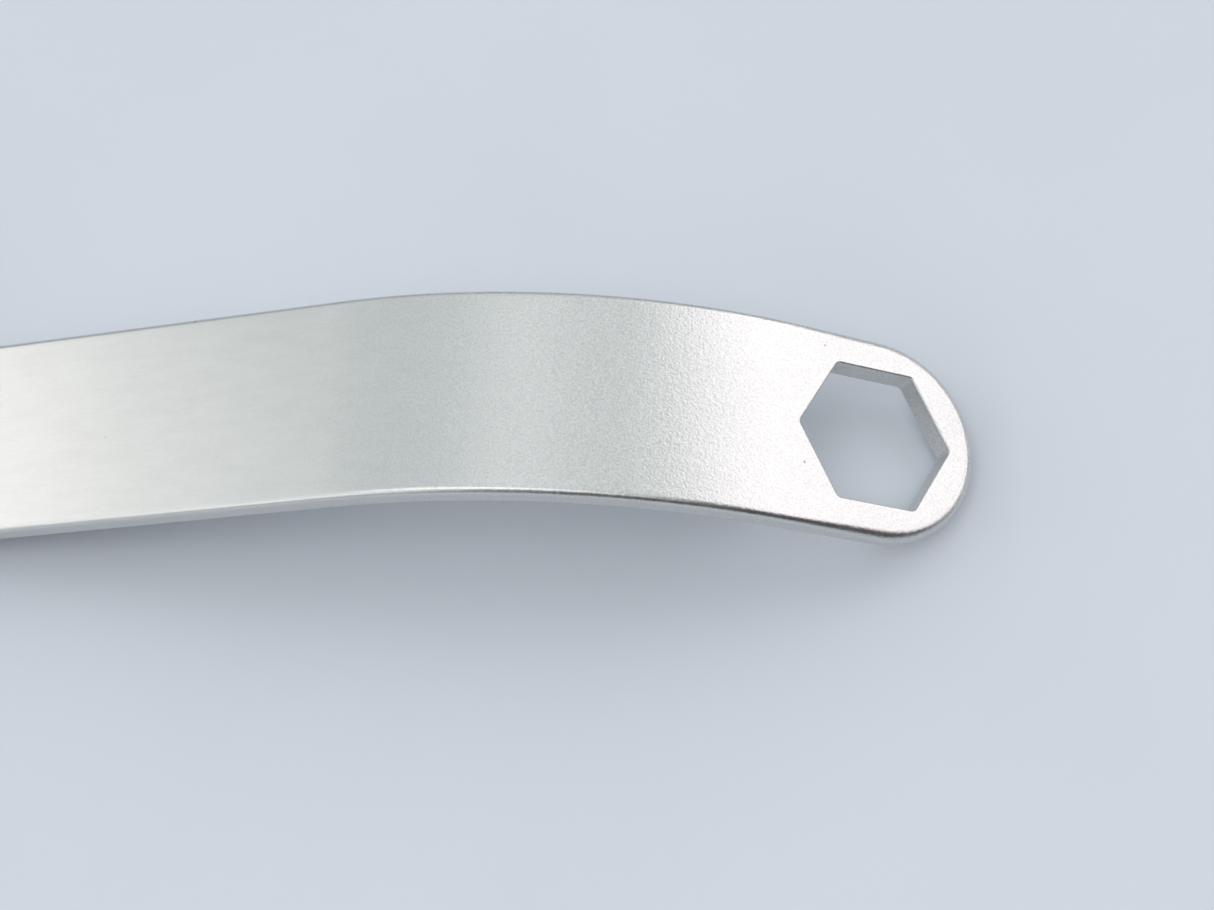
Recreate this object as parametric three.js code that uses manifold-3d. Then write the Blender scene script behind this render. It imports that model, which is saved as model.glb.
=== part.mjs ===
// Fire hydrant wrench: a bent flat-bar handle with a hexagon in its tail, carrying a ratcheting
// pentagon head and a spanner hook. Millimetres, +Z up, the head's underside and the tail's tip on z = 0.
// The socket axis is x = 0, y = 0 while building, and the handle runs along +X.

import * as THREE from 'three';
import { mergeVertices } from 'three/addons/utils/BufferGeometryUtils.js';
import Module from 'manifold-3d';

const wasm = await Module();
wasm.setup();

// ---- driving dimensions ---------------------------------------------------------------------

// Handle: 40 x 5 flat bar, bent in side view.
const BAR_WIDTH = 40;
const BAR_THICKNESS = 5;
const TAIL_REACH = 331; // socket axis to the end of the tail
const TAIL_SLOPE = THREE.MathUtils.degToRad(26.3); // the tail runs down to the ground at this angle
const RISE_SLOPE = THREE.MathUtils.degToRad(14.2); // the bar rises from the head at this angle
const TAIL_RUN = 38.7; // straight length behind the tip
const CREST_RADIUS = 118.4; // bar's middle line over the crest
const NECK_BEND_RADIUS = 60; // bar's middle line where it leaves the head
const HEX_ACROSS_FLATS = 27;
const HEX_FROM_TIP = 21;

// Head: two side plates with the gear case, the hook and the handle clamped between them.
const PLATE = 4;
const CASE = 15;
const FACE_GAP = 0.1; // between stacked faces
const BUTT_GAP = 0.4; // between pieces that butt against the gear case
const RUN_GAP = 0.3; // between parts that slide on each other
const PLATE_RADIUS = 42;
const CASE_INSET = 1; // gear case outline inside the plate outline
const NECK_START = 78;
const NECK_END = 114;
const NECK_HALF_WIDTH = 20.5;
const NECK_CORNER = 7;

// Ratchet ring.
const TOOTH_COUNT = 24;
const TOOTH_TIP_RADIUS = 32.4;
const TOOTH_ROOT_RADIUS = 28.8;
const TOOTH_LAND = 1.6; // width of a tooth's tip, and of the flat between two teeth
const CASE_BORE_RADIUS = 33.2;
const HUB_RADIUS = 25.5;
const BUSH_INNER_RADIUS = 25.8;
const BUSH_OUTER_RADIUS = 27.9;
const PLATE_BORE_RADIUS = 28.1;
const PENTAGON_POINT_TO_FLAT = 39.7;
const LEAD_DEPTH = 4; // cone that guides the nut into each end of the socket
const LEAD_CORNER_LAND = 0.6; // the pentagon's corners stand outside the cone by this much

// Reversing pawl and its selector.
const PAWL_X = 45;
const PAWL_TILT = THREE.MathUtils.degToRad(12);
const PAWL_PIN_RADIUS = 2.5;
const NOSE_GAP_ANGLE = THREE.MathUtils.degToRad(22.5); // tooth gap that an engaged nose drops into
const NOSE_TIP_RADIUS = 29.5; // distance of an engaged nose's tip from the socket axis
const STEM_X = 64;
const STEM_RADIUS = 6.5;
const STEM_NECK_RADIUS = 4.4;
const STEM_FOOT_RADIUS = 3;
const STEM_SQUARE = 5.8;
const SELECTOR_TURN = THREE.MathUtils.degToRad(30);
const PLUNGER_RADIUS = 1.8;
const PLUNGER_REACH = 11.6; // stem axis to the centre of the plunger's round tip
const PLUNGER_BACK = 4; // stem axis to the plunger's flat back
const PLUNGER_BORE_END = -4.4; // the plunger's bore stops this far beyond the stem axis
const SCREW_BORE_DEPTH = 4; // how far the lever screw's bore reaches into the gear case's height
const LEVER_THICKNESS = 3.8;
const LEVER_LENGTH = 18;

// Spanner hook: a claw round a 92 mm coupling that touches the head.
const COUPLING_RADIUS = 46;
const COUPLING_ANGLE = THREE.MathUtils.degToRad(240);
const HOOK_CLEARANCE = 1;
const EAR_START = THREE.MathUtils.degToRad(182);
const EAR_END = THREE.MathUtils.degToRad(214);
const EAR_RADIUS = 61;
const EAR_SHOULDER = 7; // how far below its rim the ear starts to round over
const CLAW_THICKNESS = 10;
const CLAW_DEPTH = 14;
const NIB_DEPTH = 5.5;

// Fasteners: shank radius, countersunk head radius and head height.
const HEAD_SCREW = { shank: 1.6, head: 3, sink: 1.6, key: 2 };
const HOOK_SCREW = { shank: 3, head: 5.6, sink: 3, key: 4 };
const RIVET = { shank: 3, head: 4.8, sink: 1.8 };
const FIT = 0.2; // a fastener's clearance in its hole

// Facets: how many sides the round features have.
const SMALL_SIDES = 16;
const LARGE_SIDES = 48;
const HEAD_ARC_STEPS = 36;

// ---- heights worked out from the stack --------------------------------------------------------

const CASE_BOTTOM = PLATE + FACE_GAP;
const CASE_TOP = CASE_BOTTOM + CASE;
const UPPER_BOTTOM = CASE_TOP + FACE_GAP;
const HEAD_TOP = UPPER_BOTTOM + PLATE;
const CASE_MIDDLE = (CASE_BOTTOM + CASE_TOP) / 2;
const BAR_MIDDLE = CASE_BOTTOM + BAR_THICKNESS / 2;
const SCREW_BORE_BOTTOM = CASE_TOP - SCREW_BORE_DEPTH;
const LEVER_BOTTOM = HEAD_TOP + RUN_GAP;
const LEVER_TOP = LEVER_BOTTOM + LEVER_THICKNESS;
const COUPLING_X = (PLATE_RADIUS + HOOK_CLEARANCE + COUPLING_RADIUS) * Math.cos(COUPLING_ANGLE);
const COUPLING_Y = (PLATE_RADIUS + HOOK_CLEARANCE + COUPLING_RADIUS) * Math.sin(COUPLING_ANGLE);

// ---- materials ---------------------------------------------------------------------------------

const FINISHES = {
  blasted: { color: 0xc9c9c4, roughness: 0.42, metalness: 0.9 },
  ground: { color: 0xb4b5b3, roughness: 0.3, metalness: 0.95 },
  hardened: { color: 0x55585b, roughness: 0.38, metalness: 0.9 },
  bronze: { color: 0xb08a4e, roughness: 0.36, metalness: 0.9 },
  blackened: { color: 0x2b2c2e, roughness: 0.5, metalness: 0.7 },
};

// ---- solid helpers -----------------------------------------------------------------------------

/** A closed three.js geometry as a manifold solid. */
function solid(geometry) {
  const bare = geometry.clone();
  bare.deleteAttribute('normal');
  bare.deleteAttribute('uv');
  const merged = mergeVertices(bare, 1e-4);
  const vertProperties = new Float32Array(merged.attributes.position.array);
  const triVerts = new Uint32Array(merged.index.array);
  return new wasm.Manifold(new wasm.Mesh({ numProp: 3, vertProperties, triVerts }));
}

/** A manifold solid as a three.js geometry. */
function geometryOf(body) {
  const mesh = body.getMesh();
  const geometry = new THREE.BufferGeometry();
  const positions = new Float32Array(mesh.vertProperties);
  geometry.setAttribute('position', new THREE.BufferAttribute(positions, 3));
  geometry.setIndex(new THREE.BufferAttribute(new Uint32Array(mesh.triVerts), 1));
  geometry.computeVertexNormals();
  return geometry;
}

/** An outline in the XY plane as an upright prism between two heights. */
function prismGeometry(shape, low, high, curveSegments = 24) {
  const options = { depth: high - low, bevelEnabled: false, curveSegments };
  return new THREE.ExtrudeGeometry(shape, options).translate(0, 0, low);
}

function prism(shape, low, high, curveSegments = 24) {
  return solid(prismGeometry(shape, low, high, curveSegments));
}

/** An upright cylinder or cone frustum. */
function rod(x, y, low, high, lowRadius, highRadius = lowRadius, sides = SMALL_SIDES) {
  const geometry = new THREE.CylinderGeometry(highRadius, lowRadius, high - low, sides);
  return solid(geometry.rotateX(Math.PI / 2).translate(x, y, (low + high) / 2));
}

/** A lathed solid about Z from [radius, z] pairs that start and end on the axis. */
function turned(pairs, sides = SMALL_SIDES) {
  const profile = pairs.map(([radius, z]) => new THREE.Vector2(radius, z));
  return solid(new THREE.LatheGeometry(profile, sides).rotateX(Math.PI / 2));
}

function cutAll(body, cutters) {
  return cutters.reduce((rest, cutter) => rest.subtract(cutter), body);
}

function joinAll(bodies) {
  return bodies.reduce((whole, body) => whole.add(body));
}

/** A regular polygon with one corner at the given angle. */
function polygon(x, y, cornerRadius, corners, firstAngle) {
  const points = [];
  for (let corner = 0; corner < corners; corner += 1) {
    const angle = firstAngle + (2 * Math.PI * corner) / corners;
    points.push(new THREE.Vector2(...polar(cornerRadius, angle, x, y)));
  }
  return new THREE.Shape(points);
}

function polar(radius, angle, x = 0, y = 0) {
  return [x + radius * Math.cos(angle), y + radius * Math.sin(angle)];
}

function part(name, body, finish) {
  const geometry = body instanceof THREE.BufferGeometry ? body : geometryOf(body);
  const mesh = new THREE.Mesh(geometry, new THREE.MeshStandardMaterial(FINISHES[finish]));
  mesh.name = name;
  return mesh;
}

// ---- fasteners ---------------------------------------------------------------------------------

const NECK_SCREW_X = 56;
const NECK_SCREW_Y = 19.5;
const RIM_SCREW_RADIUS = 37.1;
const RIM_SCREW_ANGLES = [75, 135, 225, 285].map((angle) => THREE.MathUtils.degToRad(angle));
const HEAD_SCREW_PLACES = [
  ...RIM_SCREW_ANGLES.map((angle) => polar(RIM_SCREW_RADIUS, angle)),
  [NECK_SCREW_X, NECK_SCREW_Y],
  [NECK_SCREW_X, -NECK_SCREW_Y],
];
const HOOK_SCREW_RADIUS = 50.5;
const HOOK_SCREW_ANGLES = [192, 206].map((angle) => THREE.MathUtils.degToRad(angle));
const HOOK_SCREW_PLACES = HOOK_SCREW_ANGLES.map((angle) => polar(HOOK_SCREW_RADIUS, angle));
const RIVET_PLACES = [
  [87, 10],
  [87, -10],
  [104, 0],
];

const SCREW_TIP_CHAMFER = 0.3;
const KEY_DEPTH_SHARE = 0.8; // of the head's height

/** A countersunk screw with a hexagon key recess, its head flush with the upper plate. */
function countersunkScrew([x, y], size) {
  const profile = [
    [0, RUN_GAP],
    [size.shank - SCREW_TIP_CHAMFER, RUN_GAP],
    [size.shank, RUN_GAP + SCREW_TIP_CHAMFER],
    [size.shank, HEAD_TOP - size.sink],
    [size.head, HEAD_TOP],
    [0, HEAD_TOP],
  ];
  const keyCorner = size.key / Math.sqrt(3);
  const keyBottom = HEAD_TOP - size.sink * KEY_DEPTH_SHARE;
  const key = prism(polygon(0, 0, keyCorner, 6, 0), keyBottom, HEAD_TOP + 1);
  return turned(profile).subtract(key).translate([x, y, 0]);
}

/** The clearance that a countersunk screw needs through the stack. */
function screwHole([x, y], size) {
  const profile = [
    [0, -1],
    [size.shank + FIT, -1],
    [size.shank + FIT, HEAD_TOP - size.sink],
    [size.head + FIT, HEAD_TOP],
    [size.head + FIT, HEAD_TOP + 1],
    [0, HEAD_TOP + 1],
  ];
  return turned(profile).translate([x, y, 0]);
}

/** A rivet set flush into both side plates. */
function rivet([x, y]) {
  const profile = [
    [0, 0],
    [RIVET.head, 0],
    [RIVET.shank, RIVET.sink],
    [RIVET.shank, HEAD_TOP - RIVET.sink],
    [RIVET.head, HEAD_TOP],
    [0, HEAD_TOP],
  ];
  return turned(profile).translate([x, y, 0]);
}

function rivetHole([x, y]) {
  const profile = [
    [0, -1],
    [RIVET.head + FIT, -1],
    [RIVET.head + FIT, 0],
    [RIVET.shank + FIT, RIVET.sink],
    [RIVET.shank + FIT, HEAD_TOP - RIVET.sink],
    [RIVET.head + FIT, HEAD_TOP],
    [RIVET.head + FIT, HEAD_TOP + 1],
    [0, HEAD_TOP + 1],
  ];
  return turned(profile).translate([x, y, 0]);
}

const screwHoles = joinAll(HEAD_SCREW_PLACES.map((place) => screwHole(place, HEAD_SCREW)));
const hookHoles = joinAll(HOOK_SCREW_PLACES.map((place) => screwHole(place, HOOK_SCREW)));
const rivetHoles = joinAll(RIVET_PLACES.map(rivetHole));
const hookRadius = COUPLING_RADIUS + HOOK_CLEARANCE;
const couplingSpace = rod(COUPLING_X, COUPLING_Y, -1, HEAD_TOP + 1, hookRadius, hookRadius, LARGE_SIDES);

// ---- handle bar --------------------------------------------------------------------------------

/** Key points of the handle's middle line in side view, worked back from the tip. */
function handleLine() {
  const halfBar = BAR_THICKNESS / 2;
  const tip = new THREE.Vector2(TAIL_REACH - halfBar * Math.sin(TAIL_SLOPE), halfBar * Math.cos(TAIL_SLOPE));
  const tailTop = new THREE.Vector2(
    tip.x - TAIL_RUN * Math.cos(TAIL_SLOPE),
    tip.y + TAIL_RUN * Math.sin(TAIL_SLOPE),
  );
  const crestCentre = new THREE.Vector2(
    tailTop.x - CREST_RADIUS * Math.sin(TAIL_SLOPE),
    tailTop.y - CREST_RADIUS * Math.cos(TAIL_SLOPE),
  );
  const riseTop = new THREE.Vector2(
    crestCentre.x - CREST_RADIUS * Math.sin(RISE_SLOPE),
    crestCentre.y + CREST_RADIUS * Math.cos(RISE_SLOPE),
  );
  const bendLift = NECK_BEND_RADIUS * (1 - Math.cos(RISE_SLOPE));
  const riseHeight = riseTop.y - BAR_MIDDLE - bendLift;
  const riseBottomX = riseTop.x - riseHeight / Math.tan(RISE_SLOPE);
  const neckCentre = new THREE.Vector2(
    riseBottomX - NECK_BEND_RADIUS * Math.sin(RISE_SLOPE),
    BAR_MIDDLE + NECK_BEND_RADIUS,
  );
  return { tip, crestCentre, neckCentre };
}

/** The handle's outline in side view: x along the handle, y up. */
function handleSideShape({ tip, crestCentre, neckCentre }) {
  const half = BAR_THICKNESS / 2;
  const quarter = Math.PI / 2;
  const barStart = NECK_START + BUTT_GAP;
  const shape = new THREE.Shape();
  const neckArc = (radius, start, end) => {
    shape.absarc(neckCentre.x, neckCentre.y, radius, start - quarter, end - quarter, start > end);
  };
  const crestArc = (radius, start, end) => {
    shape.absarc(crestCentre.x, crestCentre.y, radius, start + quarter, end + quarter, start > end);
  };
  shape.moveTo(barStart, BAR_MIDDLE - half);
  shape.lineTo(neckCentre.x, BAR_MIDDLE - half);
  neckArc(NECK_BEND_RADIUS + half, 0, RISE_SLOPE);
  crestArc(CREST_RADIUS - half, RISE_SLOPE, -TAIL_SLOPE);
  shape.lineTo(tip.x - half * Math.sin(TAIL_SLOPE), tip.y - half * Math.cos(TAIL_SLOPE));
  shape.lineTo(tip.x + half * Math.sin(TAIL_SLOPE), tip.y + half * Math.cos(TAIL_SLOPE));
  crestArc(CREST_RADIUS + half, -TAIL_SLOPE, RISE_SLOPE);
  neckArc(NECK_BEND_RADIUS - half, RISE_SLOPE, 0);
  shape.lineTo(barStart, BAR_MIDDLE + half);
  return shape;
}

/** What the round end removes: a block with a half circle of the bar's width left standing. */
function tailCutShape() {
  const round = BAR_WIDTH / 2;
  const margin = 5;
  const shape = new THREE.Shape();
  shape.moveTo(-round, -round - margin);
  shape.lineTo(margin, -round - margin);
  shape.lineTo(margin, round + margin);
  shape.lineTo(-round, round + margin);
  shape.absarc(-round, 0, round, Math.PI / 2, -Math.PI / 2, true);
  return shape;
}

function handleBar() {
  const line = handleLine();
  const arcSegments = 16;
  const swept = prismGeometry(handleSideShape(line), -BAR_WIDTH / 2, BAR_WIDTH / 2, arcSegments);
  const blank = solid(swept.rotateX(Math.PI / 2));
  const hexCorner = HEX_ACROSS_FLATS / Math.sqrt(3);
  const cutReach = BAR_THICKNESS * 3;
  const tailCutters = [
    prismGeometry(tailCutShape(), -cutReach, cutReach, 28),
    prismGeometry(polygon(-HEX_FROM_TIP, 0, hexCorner, 6, 0), -cutReach, cutReach),
  ].map((geometry) => solid(geometry.rotateY(TAIL_SLOPE).translate(line.tip.x, 0, line.tip.y)));
  return cutAll(blank, [...tailCutters, rivetHoles]);
}

// ---- side plates, gear case, neck spacer ---------------------------------------------------------

/** Carries an outline round the neck's end, from its lower corner to its upper one. */
function roundNeckEnd(shape, neckEnd, neckHalf) {
  const corner = NECK_CORNER;
  shape.lineTo(neckEnd - corner, -neckHalf);
  shape.absarc(neckEnd - corner, corner - neckHalf, corner, -Math.PI / 2, 0, false);
  shape.absarc(neckEnd - corner, neckHalf - corner, corner, 0, Math.PI / 2, false);
}

/** The head's teardrop outline: a round head, straight flanks and a neck as wide as the bar. */
function headShape(inset, neckEnd) {
  const radius = PLATE_RADIUS - inset;
  const neckHalf = NECK_HALF_WIDTH - inset;
  const reach = Math.hypot(NECK_START, neckHalf);
  const tangent = Math.atan2(neckHalf, NECK_START) + Math.acos(radius / reach);
  const shape = new THREE.Shape();
  shape.moveTo(NECK_START, neckHalf);
  shape.lineTo(...polar(radius, tangent));
  shape.absarc(0, 0, radius, tangent, 2 * Math.PI - tangent, false);
  shape.lineTo(NECK_START, -neckHalf);
  if (neckEnd > NECK_START) {
    roundNeckEnd(shape, neckEnd, neckHalf);
  }
  return shape;
}

/** The ear that holds the hook: a flared sector on the head's rim. */
function earShape(innerRadius, flare) {
  const rounding = THREE.MathUtils.degToRad(6);
  const shoulder = EAR_RADIUS - EAR_SHOULDER;
  const shape = new THREE.Shape();
  shape.moveTo(...polar(innerRadius, EAR_START - flare));
  shape.lineTo(...polar(shoulder, EAR_START));
  shape.quadraticCurveTo(...polar(EAR_RADIUS, EAR_START), ...polar(EAR_RADIUS, EAR_START + rounding));
  shape.absarc(0, 0, EAR_RADIUS, EAR_START + rounding, EAR_END - rounding, false);
  shape.quadraticCurveTo(...polar(EAR_RADIUS, EAR_END), ...polar(shoulder, EAR_END));
  shape.lineTo(...polar(innerRadius, EAR_END + flare));
  shape.absarc(0, 0, innerRadius, EAR_END + flare, EAR_START - flare, true);
  return shape;
}

/** A side plate with the bearing bore, the pawl pin hole and the fastener holes. */
function sidePlate(low, stemHoleRadius) {
  const high = low + PLATE;
  const flare = THREE.MathUtils.degToRad(10);
  const head = prism(headShape(0, NECK_END), low, high, HEAD_ARC_STEPS);
  const ear = prism(earShape(PLATE_RADIUS - EAR_SHOULDER, flare), low, high, 6);
  return cutAll(head.add(ear), [
    couplingSpace,
    rod(0, 0, low - 1, high + 1, PLATE_BORE_RADIUS, PLATE_BORE_RADIUS, LARGE_SIDES),
    rod(PAWL_X, 0, low - 1, high + 1, PAWL_PIN_RADIUS + FIT),
    rod(STEM_X, 0, low - 1, high + 1, stemHoleRadius),
    screwHoles,
    hookHoles,
    rivetHoles,
  ]);
}

/** The pocket that the pawl rocks in, from the ring's bore to the plunger's channel. */
function pawlPocketShape() {
  const halfOutline = [
    [24, 20],
    [31, 22.5],
    [43, 22.5],
    [53, 16.5],
    [57, 11],
    [57, 8],
    [62, 6],
  ];
  const points = [...halfOutline, ...halfOutline.map(([x, y]) => [x, -y]).reverse()];
  return new THREE.Shape(points.map(([x, y]) => new THREE.Vector2(x, y)));
}

function gearCase() {
  const low = CASE_BOTTOM;
  const high = CASE_TOP;
  return cutAll(prism(headShape(CASE_INSET, NECK_START), low, high, HEAD_ARC_STEPS), [
    rod(0, 0, low - 1, high + 1, CASE_BORE_RADIUS, CASE_BORE_RADIUS, LARGE_SIDES),
    prism(pawlPocketShape(), low - 1, high + 1),
    rod(STEM_X, 0, low - 1, high + 1, STEM_RADIUS + RUN_GAP),
    screwHoles,
  ]);
}

/** The block above the bar that fills the neck up to the upper plate. */
function neckSpacer() {
  const halfWidth = NECK_HALF_WIDTH - CASE_INSET / 2;
  const start = NECK_START + BUTT_GAP;
  const shape = new THREE.Shape();
  shape.moveTo(start, halfWidth);
  shape.lineTo(start, -halfWidth);
  roundNeckEnd(shape, NECK_END, halfWidth);
  return prism(shape, CASE_BOTTOM + BAR_THICKNESS + FACE_GAP, CASE_TOP, 8).subtract(rivetHoles);
}

// ---- ratchet ring and bushings -------------------------------------------------------------------

/** The ring's toothed outline, with a tooth on the X axis. */
function toothShape() {
  const pitch = (2 * Math.PI) / TOOTH_COUNT;
  const tipHalf = TOOTH_LAND / 2 / TOOTH_TIP_RADIUS;
  const footHalf = pitch / 2 - TOOTH_LAND / 2 / TOOTH_ROOT_RADIUS;
  const points = [];
  for (let tooth = 0; tooth < TOOTH_COUNT; tooth += 1) {
    const centre = tooth * pitch;
    points.push(polar(TOOTH_ROOT_RADIUS, centre - footHalf));
    points.push(polar(TOOTH_TIP_RADIUS, centre - tipHalf));
    points.push(polar(TOOTH_TIP_RADIUS, centre + tipHalf));
    points.push(polar(TOOTH_ROOT_RADIUS, centre + footHalf));
  }
  return new THREE.Shape(points.map(([x, y]) => new THREE.Vector2(x, y)));
}

function driveRing() {
  const cornerRadius = PENTAGON_POINT_TO_FLAT / (1 + Math.cos(Math.PI / 5));
  const bottom = RUN_GAP;
  const top = HEAD_TOP - RUN_GAP;
  const hub = rod(0, 0, bottom, top, HUB_RADIUS, HUB_RADIUS, LARGE_SIDES);
  const teeth = prism(toothShape(), CASE_BOTTOM + RUN_GAP, CASE_TOP - RUN_GAP);
  const socket = prism(polygon(0, 0, cornerRadius, 5, Math.PI), bottom - 1, top + 1);
  const mouth = cornerRadius - LEAD_CORNER_LAND;
  const throat = mouth - LEAD_DEPTH;
  const margin = 0.1;
  const upperLead = rod(0, 0, top + margin - LEAD_DEPTH, top + margin, throat, mouth, LARGE_SIDES);
  const lowerLead = rod(0, 0, bottom - margin, bottom - margin + LEAD_DEPTH, mouth, throat, LARGE_SIDES);
  return cutAll(hub.add(teeth), [socket, upperLead, lowerLead]);
}

function bushing(low) {
  const high = low + PLATE - 2 * FACE_GAP;
  const outer = rod(0, 0, low, high, BUSH_OUTER_RADIUS, BUSH_OUTER_RADIUS, LARGE_SIDES);
  const bore = rod(0, 0, low - 1, high + 1, BUSH_INNER_RADIUS, BUSH_INNER_RADIUS, LARGE_SIDES);
  return outer.subtract(bore);
}

// ---- pawl -----------------------------------------------------------------------------------------

/** Where a point of an engaged pawl lies when the pawl is level, measured from its pin. */
function whenLevel([x, y]) {
  const point = new THREE.Vector2(x - PAWL_X, y);
  return point.rotateAround(new THREE.Vector2(0, 0), -PAWL_TILT);
}

/** One nose of the pawl, from its outer flank to its inner flank, measured from the pin. */
function noseCorners() {
  const flankSlope = Math.tan(THREE.MathUtils.degToRad(36));
  const tipHalf = 0.55; // half the nose's blunt tip
  const noseLength = 3.4;
  const baseHalf = tipHalf + noseLength * flankSlope;
  const along = new THREE.Vector2(Math.cos(NOSE_GAP_ANGLE), Math.sin(NOSE_GAP_ANGLE));
  const across = new THREE.Vector2(-along.y, along.x);
  const corners = [
    [NOSE_TIP_RADIUS + noseLength, baseHalf],
    [NOSE_TIP_RADIUS, tipHalf],
    [NOSE_TIP_RADIUS, -tipHalf],
    [NOSE_TIP_RADIUS + noseLength, -baseHalf],
  ];
  return corners.map(([out, side]) => {
    const point = along.clone().multiplyScalar(out).addScaledVector(across, side);
    return whenLevel([point.x, point.y]);
  });
}

/** The pawl's outline about its pin, level: two noses, a waist and a broad back. */
function pawlShape() {
  const back = [[9, 4.2], [8, 8.5], [2, 13.5], [-5, 18], [-9, 19.5]];
  const waist = new THREE.Vector2(-9.2, 6);
  const half = [...back.map(([x, y]) => new THREE.Vector2(x, y)), ...noseCorners(), waist];
  const mirrored = half.map((point) => new THREE.Vector2(point.x, -point.y)).reverse();
  return new THREE.Shape([...half, ...mirrored]);
}

/** The valley that the turning plunger's tip rubs into the pawl's back. */
function plungerSweep(low, high) {
  const steps = 12;
  const cutters = [];
  for (let step = 0; step <= steps; step += 1) {
    const turn = SELECTOR_TURN * ((2 * step) / steps - 1);
    const tilt = (-PAWL_TILT * turn) / SELECTOR_TURN;
    const tip = new THREE.Vector2(
      STEM_X - PLUNGER_REACH * Math.cos(turn) - PAWL_X,
      -PLUNGER_REACH * Math.sin(turn),
    );
    tip.rotateAround(new THREE.Vector2(0, 0), -tilt);
    cutters.push(rod(tip.x, tip.y, low - 1, high + 1, PLUNGER_RADIUS + RUN_GAP));
  }
  return joinAll(cutters);
}

function pawl() {
  const low = CASE_BOTTOM + RUN_GAP * 2;
  const high = CASE_TOP - RUN_GAP * 2;
  const pinHole = rod(0, 0, low - 1, high + 1, PAWL_PIN_RADIUS + RUN_GAP);
  const body = cutAll(prism(pawlShape(), low, high), [pinHole, plungerSweep(low, high)]);
  return body.translate([PAWL_X, 0, 0]);
}

function pawlPin() {
  return rod(PAWL_X, 0, RUN_GAP, HEAD_TOP - RUN_GAP, PAWL_PIN_RADIUS);
}

// ---- selector -------------------------------------------------------------------------------------

/** A solid made upright about the plunger's own axis, laid to point from the stem to the pawl. */
function layAlongPlunger(body) {
  return body.rotate([0, -90, 0]).translate([STEM_X, 0, CASE_MIDDLE]);
}

function selectorStem() {
  const foot = RUN_GAP;
  const profile = [
    [0, foot],
    [STEM_FOOT_RADIUS, foot],
    [STEM_FOOT_RADIUS, CASE_BOTTOM + RUN_GAP],
    [STEM_RADIUS, CASE_BOTTOM + RUN_GAP],
    [STEM_RADIUS, CASE_TOP - RUN_GAP],
    [STEM_NECK_RADIUS, CASE_TOP - RUN_GAP],
    [STEM_NECK_RADIUS, LEVER_BOTTOM - FACE_GAP],
    [0, LEVER_BOTTOM - FACE_GAP],
  ];
  const squareOutline = polygon(0, 0, STEM_SQUARE / Math.SQRT2, 4, Math.PI / 4);
  const squareRoot = 0.5; // how far the square starts inside the neck
  const square = prism(squareOutline, LEVER_BOTTOM - squareRoot, LEVER_TOP - BUTT_GAP);
  const screwBore = rod(STEM_X, 0, SCREW_BORE_BOTTOM, LEVER_TOP + 1, HEAD_SCREW.shank + FIT);
  const boreRadius = PLUNGER_RADIUS + RUN_GAP;
  const plungerBore = layAlongPlunger(rod(0, 0, PLUNGER_BORE_END, STEM_RADIUS + 2, boreRadius));
  const upright = turned(profile, 24).add(square).translate([STEM_X, 0, 0]);
  return cutAll(upright, [plungerBore, screwBore]);
}

/** The thumb lever: a round hub with a tapered tab that points along the handle. */
function selectorLever() {
  const hubRadius = 8;
  const tabHalf = 3.4;
  const spread = THREE.MathUtils.degToRad(52);
  const shape = new THREE.Shape();
  shape.moveTo(...polar(hubRadius, spread));
  shape.absarc(0, 0, hubRadius, spread, 2 * Math.PI - spread, false);
  shape.absarc(LEVER_LENGTH - tabHalf, 0, tabHalf, -Math.PI / 2, Math.PI / 2, false);
  const hole = polygon(0, 0, (STEM_SQUARE + 2 * FIT) / Math.SQRT2, 4, Math.PI / 4);
  const squareHole = prism(hole, LEVER_BOTTOM - 1, LEVER_TOP + 1);
  return prism(shape, LEVER_BOTTOM, LEVER_TOP, 16).subtract(squareHole).translate([STEM_X, 0, 0]);
}

/** The button-head screw that keeps the lever on its square. */
function selectorScrew() {
  const headRadius = 5.2;
  const headHeight = 2;
  const keyFloor = 0.5;
  const seat = LEVER_TOP + FACE_GAP;
  const foot = SCREW_BORE_BOTTOM + 0.5;
  const profile = [
    [0, foot],
    [HEAD_SCREW.shank, foot],
    [HEAD_SCREW.shank, seat],
    [headRadius, seat],
    [headRadius * 0.86, seat + headHeight * 0.6],
    [headRadius * 0.5, seat + headHeight * 0.9],
    [0, seat + headHeight],
  ];
  const keyOutline = polygon(0, 0, HEAD_SCREW.key / Math.sqrt(3), 6, 0);
  const key = prism(keyOutline, seat + keyFloor, seat + headHeight + 1);
  return turned(profile).subtract(key).translate([STEM_X, 0, 0]);
}

function plunger() {
  const profile = [[0, PLUNGER_BACK], [PLUNGER_RADIUS, PLUNGER_BACK]];
  const tipSteps = 5;
  for (let step = 0; step < tipSteps; step += 1) {
    const angle = (Math.PI / 2) * (step / tipSteps);
    profile.push([PLUNGER_RADIUS * Math.cos(angle), PLUNGER_REACH + PLUNGER_RADIUS * Math.sin(angle)]);
  }
  profile.push([0, PLUNGER_REACH + PLUNGER_RADIUS]);
  return layAlongPlunger(turned(profile));
}

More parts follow.
